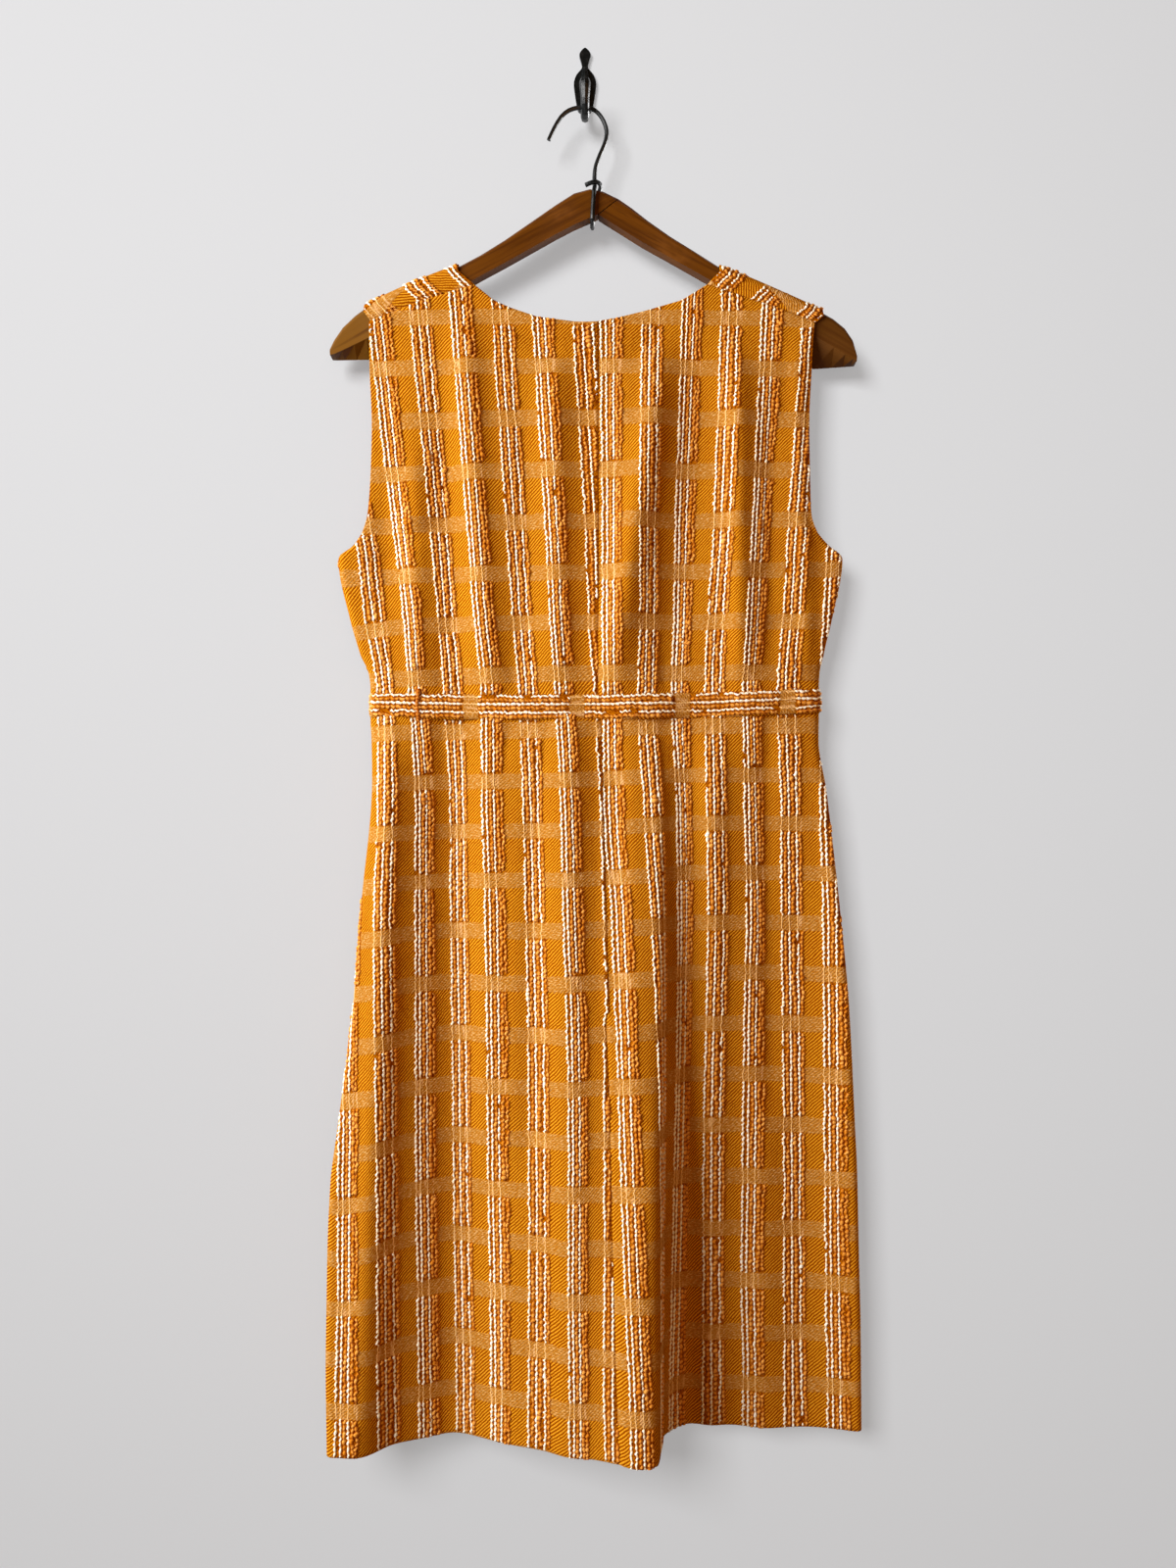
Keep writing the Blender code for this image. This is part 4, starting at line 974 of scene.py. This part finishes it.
def front_strap(side, x):
    """Points and cloth coordinates of a strap from the scoop row up, over the wood and down to the
    shoulder seam. Its inner edge is a quarter ellipse. Past the fold the cloth goes on straight
    in its own plane, so the threads come down the back mirrored in the fold's line."""
    neck_x, neck_z, tip_x, tip_z, seam_x, end_x, bow = SHOULDERS[side]
    drop = FOLD_OVER + CLOTH_ON_WOOD
    across = np.abs(x - x[0]) / abs(x[-1] - x[0])
    rise = np.linspace(0, 1, 2 * round((tip_z - drop - SCOOP) / ROW_STEP / 2) + 1)[:, None]
    inner_x = CENTRE_FRONT + (neck_x - CENTRE_FRONT) * np.sin(rise * math.pi / 2)
    inner_z = SCOOP + (neck_z - drop - SCOOP) * (1 - np.cos(rise * math.pi / 2))
    outer_z = SCOOP + (tip_z - drop - SCOOP) * rise
    flare = tip_x - side_x(side, tip_z - drop)
    outer_x = side_x(side, outer_z) + flare * rise ** 3
    strap_x = inner_x + (outer_x - inner_x) * across
    strap_z = inner_z + (outer_z - inner_z) * across + bow * 4 * across * (1 - across) * rise
    strap = np.stack([strap_x, -panel_depth("front", strap_x, strap_z), strap_z], axis=-1)
    base = np.stack([front_across(strap_x, strap_z), strap_z], axis=-1)

    last_x, last_z = strap_x[-1], strap_z[-1]
    angle = math.pi * np.arange(1, FOLD_ROWS + 1)[:, None] / FOLD_ROWS
    fold = np.stack(np.broadcast_arrays(
        last_x, CLOTH_ON_WOOD * np.cos(angle) - WOOD_DEPTH, last_z + CLOTH_ON_WOOD * np.sin(angle)
    ), axis=-1)
    to_x = seam_x + (end_x - seam_x) * across
    to_z = np.interp(to_x, BACK_TOP[:, 0], BACK_TOP[:, 1])
    share = np.arange(1, SEAM_ROWS + 1)[:, None] / SEAM_ROWS
    down_x, down_z = (to_x - last_x) * share, (to_z - last_z) * share
    to_seam = np.hypot(to_x - last_x, to_z - last_z) * (1 - share)
    dip = SEAM_DIP * np.exp(-((to_seam / DIP_WIDTH) ** 2))
    strip = np.stack([
        last_x + down_x, dip - (WOOD_DEPTH + CLOTH_ON_WOOD) * np.ones_like(dip), last_z + down_z
    ], axis=-1)

    along = np.array([tip_x - neck_x, tip_z - neck_z])
    along /= np.linalg.norm(along)
    upward = np.array([-along[1], along[0]]) * math.copysign(1, along[0])
    over = base[-1] + upward * (CLOTH_ON_WOOD * angle)[..., None]
    shift = down_x * along[0] + down_z * along[1]
    fall = -(down_x * upward[0] + down_z * upward[1])
    beyond = over[-1] + along * shift[..., None] + upward * fall[..., None]
    flat = np.concatenate([base, over, beyond]) + FRONT_SHIFT
    return np.concatenate([strap, fold, strip]), flat


halves = {side: front_below(side) for side in ("left", "right")}
below_x = np.concatenate([halves["right"][0][:, ::-1], halves["left"][0][:, 1:]], axis=1)
below_z = np.concatenate([halves["right"][1][:, ::-1], halves["left"][1][:, 1:]], axis=1)
below = np.stack([below_x, -front_depth(below_x, below_z), below_z], axis=-1)
below_uv = np.stack([front_across(below_x, below_z), below_z], axis=-1) + FRONT_SHIFT
centre = halves["right"][0].shape[1] - 1
straps = {}
for side in ("left", "right"):
    points, uv = front_strap(side, halves[side][0][-1])
    if side == "right":
        points, uv = points[:, ::-1], uv[:, ::-1]
    straps[side] = (points, uv)

index = np.arange(below_x.size).reshape(below_x.shape)
sheets, faces, coordinates, used = [below], [quads_of(index)], [below_uv], below_x.size
for side in ("left", "right"):
    points, uv = (grid[2::2] for grid in straps[side])
    shared = index[-1, centre:] if side == "left" else index[-1, :centre + 1]
    rest = used + np.arange(points[..., 0].size).reshape(points.shape[:2])
    faces.append(quads_of(np.concatenate([shared[None], rest])))
    sheets.append(points)
    coordinates.append(uv)
    used += rest.size
front_panel = cloth_shell(
    "front_panel", np.concatenate([grid.reshape(-1, 3) for grid in sheets]),
    np.concatenate(faces), np.concatenate([grid.reshape(-1, 2) for grid in coordinates]),
)
made_of(front_panel, cloth_finish, "front")

cords_on["front"] = []
for colour, finish, seed in (("white", white_cord, 11), ("orange", orange_cord, 13)):
    cords = stripes_between(-CORDS_HALF, CORDS_HALF, colour == "white")
    laid = lay_cords(
        below[:, ::-1], normals_of(below)[:, ::-1], below_uv[:, ::-1], cords, seed, 3, cover=UNDER_BELT
    )
    cords_on["front"].append(cord_piece(colour + "_cords_front", laid, finish))
    for side in ("left", "right"):
        points, uv = straps[side]
        laid = lay_cords(points[:, ::-1], normals_of(points)[:, ::-1], uv[:, ::-1], cords, seed)
        cords_on["front"].append(cord_piece(f"{colour}_cords_{side}_strap", laid, finish))


# ---------------------------------------------------------------------------------------------
# The belt: a stiffened band of the same cloth, cut along one stripe so that its cords run round
# the waist. Pale bands cross it, and a short thread loop at the left holds it to the dress.

BELT_HEIGHT = 19.5 * MM
BELT_AWAY = 2.4 * MM      # middle of the belt's wall from the middle of the dress's cloth
BELT_LINE = np.array([-530.0, -532.4, -526.6]) * MM   # height of its middle: left, centre, right
BELT_ENDS = np.array([-179.0, 195.6]) * MM
BELT_ROWS = 14
BELT_PITCH = 43.3
FIRST_BAND_X = -6.7 * MM
EDGE_ROLL = 0.9 * MM
EDGE_ROUND = 0.28         # share of the half height over which the edges roll in
EDGE_WAVE = 0.35 * MM
BELT_OUT, BELT_IN, BELT_RIM = 0.6 * MM, 1.0 * MM, 0.7 * MM
RING_COLUMNS = 61         # points of the waist's section from a centre to a side seam
RING_APART = 0.6 * MM     # closest two of them may be
RING_SMOOTH = 7           # points over which the section is smoothed


def waist_ring():
    """The dress's section under the belt, from the centre front by the left side over the back to
    the right side: x, depth and whether the point lies on the back."""
    runs = []
    for face, side, inwards in (
        ("front", "left", False), ("back", "left", True),
        ("back", "right", False), ("front", "right", True),
    ):
        middle = read(CENTRE_BACK, 1, LOOKUP)[:, None] if face == "back" else CENTRE_FRONT
        places = column_places(face, side, middle, np.linspace(0, 1, RING_COLUMNS))
        x = place_at(places, np.full((1, places.shape[1]), WAIST))[0]
        run = np.stack([x, panel_depth(face, x, np.full_like(x, WAIST)), x * 0 + (face == "back")], 1)
        runs.append(run[::-1] if inwards else run)
    ring = np.concatenate(runs)
    apart = np.hypot(*np.diff(ring[:, :2], axis=0).T)
    return ring[np.concatenate([[True], apart > RING_APART])]


def belt_middle(x, on_back):
    """Height of the belt's middle line: straight in front, sagging between its ends behind."""
    t = (x - BELT_ENDS[0]) / (BELT_ENDS[1] - BELT_ENDS[0])
    straight = BELT_LINE[0] + (BELT_LINE[2] - BELT_LINE[0]) * t
    return straight + on_back * 4 * t * (1 - t) * (BELT_LINE[1] - (BELT_LINE[0] + BELT_LINE[2]) / 2)


ring = waist_ring()
run = np.concatenate([[0], np.hypot(*np.diff(ring[:, :2], axis=0).T).cumsum()])
steps = round(run[-1] / ROW_STEP / 2) * 2
at = np.linspace(0, run[-1], steps + 1)
x, depth, on_back = (np.interp(at, run, ring[:, i]) for i in range(3))
smooth = np.ones(RING_SMOOTH) / RING_SMOOTH
inner = slice(RING_SMOOTH // 2 + 1, -(RING_SMOOTH // 2) - 1)
x[inner], depth[inner] = (np.convolve(line, smooth, "same")[inner] for line in (x, depth))
along = np.stack([np.gradient(x), np.gradient(depth)], axis=1)
along /= np.linalg.norm(along, axis=1, keepdims=True)
away = np.stack([-along[:, 1], along[:, 0]], axis=1)
random = np.random.default_rng(21)
down = np.linspace(0, 1, BELT_ROWS + 1)
from_middle = 2 * down - 1
wave = wandering(random, steps + 1, 2, 12) * EDGE_WAVE
edges = wave[:, :1] * np.clip(-from_middle, 0, 1) ** 2 + wave[:, 1:] * np.clip(from_middle, 0, 1) ** 2
reach = BELT_AWAY - EDGE_ROLL * ease((np.abs(from_middle) - 1 + EDGE_ROUND) / EDGE_ROUND)
belt_points = np.stack([
    x[:, None] + away[:, :1] * reach,
    -(depth[:, None] + away[:, 1:] * reach),
    belt_middle(x, on_back)[:, None] + BELT_HEIGHT * (0.5 - down) + edges,
], axis=-1)
band_at = np.interp(FIRST_BAND_X, x[on_back > 0.5], at[on_back > 0.5])
belt_uv = np.stack(np.broadcast_arrays(
    down * BELT_HEIGHT, (at - band_at)[:, None] + WEFT_START * MM
), axis=-1)
belt_finish = woven_finish("belt_boucle_cotton", BELT_PITCH)
compact = np.arange(steps // 2 * (BELT_ROWS + 1)).reshape(steps // 2, -1)
compact = np.concatenate([compact, compact[:1]])
belt = cloth_shell(
    "belt_band", belt_points[:-1:2], quads_of(compact), belt_uv[:-1:2], BELT_OUT, BELT_IN, BELT_RIM
)
made_of(belt, belt_finish, "belt")

BELT_CORDS = np.array([
    (1.5, True, 0.9, 0.6, 0.5, 0.2, 0), (4.4, False, 1.15, 0.4, 0.5, 0, 0),
    (7.5, True, 1.1, 0.2, 0.2, 0, 0), (10.9, False, 1.25, 0.5, 0.7, 0, 0),
    (14.2, True, 0.95, 0.6, 0.5, 0.25, 0), (17.3, False, 1.3, 0.45, 0.6, 0, 0),
], dtype=CORD)
BELT_CORDS["across"] *= MM
cords_on["belt"] = []
for colour, finish in (("white", white_cord), ("orange", orange_cord)):
    cords = BELT_CORDS[BELT_CORDS["white"] == (colour == "white")]
    laid = lay_cords(
        belt_points, normals_of(belt_points), belt_uv, cords, 23, edge=0.0, pitch=BELT_PITCH
    )
    piece = cord_piece(colour + "_cords_belt", laid, finish)
    cords_on["belt"].append(piece)


# ---------------------------------------------------------------------------------------------
# The belt loop: a few strands of the orange yarn worked into one knobbly thread over the belt,
# stitched to the dress above and below it.

LOOP_X = -136.2 * MM
LOOP_ENDS = np.array([-516.5, -542.5]) * MM
LOOP_HALF = 1.5 * MM
LOOP_OVER = 1.4 * MM      # middle of the thread out from the belt's middle surface
LOOP_ROWS, LOOP_SIDES = 25, 6
LOOP_STEEP = 9            # how soon it rises clear of the dress
LOOP_KNOBS = 40           # radians of its swelling from end to end
LOOP_CHANCE = 0.12
LOOP_SWAY, LOOP_SWAYS = 0.5 * MM, 9   # how far it sways sideways, and radians from end to end
# sets how much of the cord finish's painted flank shade the loop takes all round
LOOP_FLANK_SHADE = 1.25 * MM     # first cloth coordinate: the tint of a cord's flank
LOOP_RUN = 60 * MM        # second one, from end to end

t = np.linspace(0, 1, LOOP_ROWS)
random = np.random.default_rng(31)
angle = np.linspace(0, 2 * math.pi, LOOP_SIDES, endpoint=False)
beneath = on_back > 0.5
rest_depth = np.interp(LOOP_X, x[beneath], depth[beneath])
knobs = BEAD * np.sin(t * LOOP_KNOBS) + random.uniform(-LOOP_CHANCE, LOOP_CHANCE, LOOP_ROWS)
thick = (LOOP_HALF * (1 + knobs))[:, None]
out = rest_depth + (BELT_AWAY + LOOP_OVER) * np.clip(LOOP_STEEP * t * (1 - t), 0, 1) ** 0.5
loop_points = np.stack([
    LOOP_X + LOOP_SWAY * np.sin(t * LOOP_SWAYS)[:, None] + thick * np.cos(angle),
    -out[:, None] - thick * np.sin(angle),
    (LOOP_ENDS[0] + (LOOP_ENDS[1] - LOOP_ENDS[0]) * t)[:, None] + 0 * angle,
], axis=-1)
index = np.arange(LOOP_ROWS * LOOP_SIDES).reshape(LOOP_ROWS, LOOP_SIDES)
around = np.concatenate([index, index[:, :1]], axis=1)
faces = quads_of(around).tolist() + [index[0].tolist(), index[-1, ::-1].tolist()]
flat = np.stack(np.broadcast_arrays(LOOP_FLANK_SHADE, (LOOP_RUN * t)[:, None] + 0 * angle), axis=-1)
belt_loop = new_piece("belt_loop", loop_points.reshape(-1, 3), faces, flat.reshape(-1, 2))
made_of(belt_loop, orange_cord)


# ---------------------------------------------------------------------------------------------
# The zip behind the centre-back seam: a twill tape stitched inside, with two rows of metal teeth
# that mesh down its middle and a die-cast slider at the top. Tape and slider are the CAD solids.

TEETH_TOP = -240 * MM
TEETH_BOTTOM = -772 * MM
TOOTH_PITCH = 1.5 * MM
TOOTH = np.array([2.2, 1.0, 1.0]) * MM     # across, out of the tape, along
TOOTH_SIDE = 0.55 * MM                      # how far each tooth sits to its own side
ZIP_BEHIND = 2.75 * MM                      # middle of the teeth in from the middle of the cloth
SLOPE_SPAN = 3 * MM
TAPE_DARK, TAPE_LIGHT = (0.26, 0.10, 0.02), (0.38, 0.16, 0.04)
BRASS, TARNISH = (0.62, 0.50, 0.28), (0.42, 0.32, 0.17)


def tape_finish():
    """Brown-orange cotton twill tape: a fine slanted rib with a woven edge."""
    material, tree, shader = finish_start("zip_tape", 0.85)
    at = node(tree, "ShaderNodeTexCoord").outputs["Object"]
    inputs = {"Vector": at, "Rotation": (0, math.radians(45), 0)}
    turned = node(tree, "ShaderNodeMapping", inputs).outputs[0]
    inputs = {"Vector": turned, "Scale": 420.0, "Distortion": 0.6, "Detail": 1.0}
    rib = node(tree, "ShaderNodeTexWave", inputs).outputs[0]
    tree.links.new(mixed(tree, rib, TAPE_DARK, TAPE_LIGHT), shader.inputs["Base Color"])
    raised(tree, shader, rib, 0.4, 0.0003)
    return material


def zip_metal_finish():
    """Brushed brass-coloured metal, a little tarnished."""
    material, tree, shader = finish_start("zip_metal", 0.38, Metallic=1.0)
    at = node(tree, "ShaderNodeTexCoord").outputs["Object"]
    spots = noise_of(tree, at, 300.0, 3.0)
    share = ramp_of(tree, spots, 0.4, 0.7)
    tree.links.new(mixed(tree, share, BRASS, TARNISH), shader.inputs["Base Color"])
    tree.links.new(ramp_of(tree, spots, 0.3, 0.7, 0.3, 0.5), shader.inputs["Roughness"])
    return material


def boxes(centres, size):
    """Corner points and quads of many equal boxes."""
    corner = np.array([[i, j, k] for i in (-0.5, 0.5) for j in (-0.5, 0.5) for k in (-0.5, 0.5)])
    quads = np.array([
        (0, 1, 3, 2), (4, 6, 7, 5), (0, 4, 5, 1), (2, 3, 7, 6), (0, 2, 6, 4), (1, 5, 7, 3),
    ])
    points = centres[:, None] + corner * size
    return points.reshape(-1, 3), (np.arange(len(centres))[:, None, None] * 8 + quads).reshape(-1, 4)


z = np.arange(TEETH_BOTTOM, TEETH_TOP, TOOTH_PITCH)
middle = read(CENTRE_BACK, 1, z)
rise = panel_depth("back", middle + SLOPE_SPAN, z) - panel_depth("back", middle - SLOPE_SPAN, z)
slope = rise / (2 * SLOPE_SPAN)
inwards = ZIP_BEHIND / np.sqrt(1 + slope ** 2)
stagger = np.where(np.arange(len(z)) % 2, TOOTH_SIDE, -TOOTH_SIDE)
centres = np.stack([
    middle + slope * inwards + stagger,
    -(panel_depth("back", middle, z) - inwards) - slope * stagger, z,
], axis=1)
zip_metal = zip_metal_finish()
teeth = new_piece("zip_teeth", *boxes(centres, TOOTH))
teeth.data.shade_flat()
made_of(teeth, zip_metal)


def dress_node(name, material):
    """Gives a carried-over CAD solid its material."""
    solid = bpy.data.objects[name]
    solid.data.materials.clear()
    solid.data.materials.append(material)
    return solid


dress_node("zip_tape", tape_finish())
dress_node("zip_slider", zip_metal)


# ---------------------------------------------------------------------------------------------
# The hanger's two arms: beech stained walnut brown under a thin worn varnish, the grain along each
# arm. The tips are sawn at a slant and more olive; the arms meet in a glued scarf joint.

WALNUT = (0.120, 0.037, 0.0018)
WALNUT_DARK = (0.065, 0.018, 0.001)
WORN = (0.26, 0.090, 0.012)
OLIVE = {"left": (0.175, 0.075, 0.007), "right": (0.085, 0.031, 0.003)}
ARM_SLOPE = math.radians(28)
TIP_STARTS = 0.172


def wood_finish(name, slope, olive):
    """Stained beech: long streaks of grain turned along the arm, short dark pores, rubbed pale
    patches, and the olive wood of the tips beyond a set distance from the middle."""
    material, tree, shader = finish_start(name, 0.45, Specular_IOR_Level=0.12)
    at = node(tree, "ShaderNodeTexCoord").outputs["Object"]
    turned = node(tree, "ShaderNodeMapping", {"Vector": at, "Rotation": (0, slope, 0)}).outputs[0]

    def streaks(scale, detail, x, z):
        """Noise stretched along the grain."""
        long = node(tree, "ShaderNodeMapping", {"Vector": turned, "Scale": (x, 1, z)}).outputs[0]
        return noise_of(tree, long, scale, detail, Distortion=0.3)

    grain = streaks(110.0, 5.0, 0.10, 2.0)
    pores = streaks(420.0, 2.0, 0.12, 1.8)
    rubbed = streaks(40.0, 5.0, 0.5, 1.0)
    colour = mixed(tree, ramp_of(tree, grain, 0.30, 0.62, 0.25, 1.0), WALNUT_DARK, WALNUT)
    colour = mixed(tree, ramp_of(tree, rubbed, 0.52, 0.72, 0.0, 0.5), colour, WORN)
    colour = mixed(tree, ramp_of(tree, pores, 0.42, 0.30, 0.0, 0.6), colour, WALNUT_DARK)
    parts = node(tree, "ShaderNodeSeparateXYZ", {0: at})
    outwards = sum_of(tree, "ABSOLUTE", parts.outputs[0])
    ragged = sum_of(tree, "MULTIPLY_ADD", rubbed, 0.012, outwards)
    tip = ramp_of(tree, ragged, TIP_STARTS + 0.002, TIP_STARTS + 0.012)
    colour = mixed(tree, sum_of(tree, "MULTIPLY", tip, 0.8), colour, olive)
    colour = mixed(tree, ramp_of(tree, grain, 0.50, 0.32, 0.0, 0.65), colour, WALNUT_DARK)
    tree.links.new(colour, shader.inputs["Base Color"])
    tree.links.new(ramp_of(tree, rubbed, 0.3, 0.7, 0.34, 0.55), shader.inputs["Roughness"])
    height = sum_of(tree, "MULTIPLY_ADD", grain, 0.5, sum_of(tree, "MULTIPLY", pores, 0.5))
    raised(tree, shader, height, 0.35, 0.0005)
    return material


for side, slope in (("left", ARM_SLOPE), ("right", -ARM_SLOPE)):
    dress_node("hanger_arm_" + side, wood_finish("walnut_stained_" + side, slope, OLIVE[side]))


# ---------------------------------------------------------------------------------------------
# The hanger's hook: one length of hard black-lacquered steel wire, bent over the wall hook, down the
# face of the wood, under it and back up. Its lacquer is half glossy and rubbed in patches.

BLACK = (0.0025, 0.0035, 0.0038)
RUBBED_STEEL = (0.03, 0.028, 0.025)


def black_finish(name, roughness, scale, strength):
    """Black lacquer or casting skin: slightly uneven in gloss, with fine bumps."""
    material, tree, shader = finish_start(name, roughness, Specular_IOR_Level=0.35)
    at = node(tree, "ShaderNodeTexCoord").outputs["Object"]
    uneven = noise_of(tree, at, scale, 4.0)
    share = ramp_of(tree, uneven, 0.58, 0.78, 0.0, 0.5)
    tree.links.new(mixed(tree, share, BLACK, RUBBED_STEEL), shader.inputs["Base Color"])
    gloss = ramp_of(tree, uneven, 0.3, 0.7, roughness - 0.08, roughness + 0.12)
    tree.links.new(gloss, shader.inputs["Roughness"])
    raised(tree, shader, uneven, strength, 0.0005)
    return material


dress_node("hanger_wire", black_finish("black_steel_wire", 0.33, 220.0, 0.12))


# ---------------------------------------------------------------------------------------------
# The wall hook: cast iron, enamelled black. A teardrop plate lies flat on the wall and a rib down
# its middle curls out into the hook; the skin of the casting shows through the enamel.

dress_node("wall_hook", black_finish("black_cast_iron", 0.30, 420.0, 0.5))


# ---------------------------------------------------------------------------------------------


# ---------------------------------------------------------------------------------------------
# The stage: a plain painted wall behind the hook, a pale floor well below and the weak warm light
# of the room. The garment and the stage have soft lamps of their own. The wall is clear from
# behind, so that the garment's other side can be looked at.

WALL_GREY = (0.69, 0.70, 0.722)  # neutral under the warm light of the room
STAGE_HALF, WALL_HALF = 3, 2
FLOOR_HEIGHT = -1.75
WINDOW = (-1.55, -0.95, -0.05)   # from the left, on the garment
WINDOW_SIZE = 1.3
WINDOW_WATTS = 77.0
WASH = (-1.3, -2.4, 0.55)        # on the stage, with the garment's shadow
WASH_SIZE = 1.2
WASH_WATTS = 46.0
BOUNCE = (0.3, -2.7, -0.4)       # on the stage, without it
BOUNCE_WATTS = 45.0
ROOM = (1.0, 0.74, 0.50)
ROOM_LIGHT = 0.10
GLOW = (0.9, -2.2, -0.6)  # what the cloth and the room throw back into its folds
GLOW_COLOUR = (1.0, 0.45, 0.14)
GLOW_SIZE = 2.0
GLOW_WATTS = 15.5
BACK_LIGHT = (1.6, 1.3, 0.0)     # through the wall, on the garment's far side
BACK_SIZE = 1.2
BACK_WATTS = 60.0
CAMERA = (0.0025, -1.0, -0.595)
FOCAL = 1202 / 1600      # focal length over the height of the frame
SENSOR = 36


def stage_plane(name, corners):
    """A matt painted plane, clear from behind."""
    mesh = bpy.data.meshes.new(name)
    mesh.from_pydata(corners, [], [(0, 1, 2, 3)])
    plane = bpy.data.objects.new(name, mesh)
    bpy.context.scene.collection.objects.link(plane)
    material, tree, shader = finish_start(name + "_paint", 0.9)
    shader.inputs["Base Color"].default_value = (*WALL_GREY, 1)
    clear = tree.nodes.new("ShaderNodeBsdfTransparent")
    facing = node(tree, "ShaderNodeNewGeometry").outputs["Backfacing"]
    both = node(tree, "ShaderNodeMixShader", {0: facing})
    tree.links.new(shader.outputs[0], both.inputs[1])
    tree.links.new(clear.outputs[0], both.inputs[2])
    output = next(n for n in tree.nodes if n.type == "OUTPUT_MATERIAL")
    tree.links.new(both.outputs[0], output.inputs[0])
    mesh.materials.append(material)
    return plane


def soft_light(name, place, watts, size, colour=(1, 1, 1)):
    """A square area light turned towards the middle of the dress."""
    data = bpy.data.lights.new(name, "AREA")
    data.color = colour
    data.size = size
    data.energy = watts
    light = bpy.data.objects.new(name, data)
    light.location = place
    towards = Vector((0, 0, CAMERA[2])) - light.location
    light.rotation_euler = towards.to_track_quat("-Z", "Y").to_euler()
    bpy.context.scene.collection.objects.link(light)
    return light


square = np.array([(-1, -1), (1, -1), (1, 1), (-1, 1)])
wall = stage_plane("wall", [(STAGE_HALF * i, 0, WALL_HALF * j) for i, j in square])
floor = stage_plane("floor", [(STAGE_HALF * i, STAGE_HALF * j, FLOOR_HEIGHT) for i, j in square])
for plane in (wall, floor):
    plane.visible_diffuse = False
on_stage = bpy.data.collections.new("on_stage")
off_stage = bpy.data.collections.new("off_stage")
for collection, state in ((on_stage, "INCLUDE"), (off_stage, "EXCLUDE")):
    for plane in (wall, floor):
        collection.objects.link(plane)
    for linked in collection.collection_objects:
        linked.light_linking.link_state = state
window = soft_light("window", WINDOW, WINDOW_WATTS, WINDOW_SIZE)
window.light_linking.receiver_collection = off_stage
wash = soft_light("wash", WASH, WASH_WATTS, WASH_SIZE)
wash.light_linking.receiver_collection = on_stage
bounce = soft_light("bounce", BOUNCE, BOUNCE_WATTS, GLOW_SIZE)
bounce.light_linking.receiver_collection = on_stage
bounce.light_linking.blocker_collection = on_stage
glow = soft_light("glow", GLOW, GLOW_WATTS, GLOW_SIZE, GLOW_COLOUR)
glow.light_linking.receiver_collection = off_stage
behind = soft_light("behind", BACK_LIGHT, BACK_WATTS, BACK_SIZE)
behind.light_linking.receiver_collection = off_stage
behind.light_linking.blocker_collection = off_stage
behind.data.cycles.max_bounces = 0  # only what it falls on directly, never thrown on to the wall
world = bpy.data.worlds.new("room")
world.use_nodes = True
world.node_tree.nodes["Background"].inputs[0].default_value = (*ROOM, 1.0)
world.node_tree.nodes["Background"].inputs[1].default_value = ROOM_LIGHT
scene = bpy.context.scene
scene.world = world
scene.view_settings.view_transform = "Standard"

camera_data = bpy.data.cameras.new("camera")
camera_data.sensor_width = SENSOR
camera_data.lens = SENSOR * FOCAL
camera = bpy.data.objects.new("camera", camera_data)
camera.location = CAMERA
camera.rotation_euler = (math.radians(90), 0, 0)
scene.collection.objects.link(camera)
scene.camera = camera
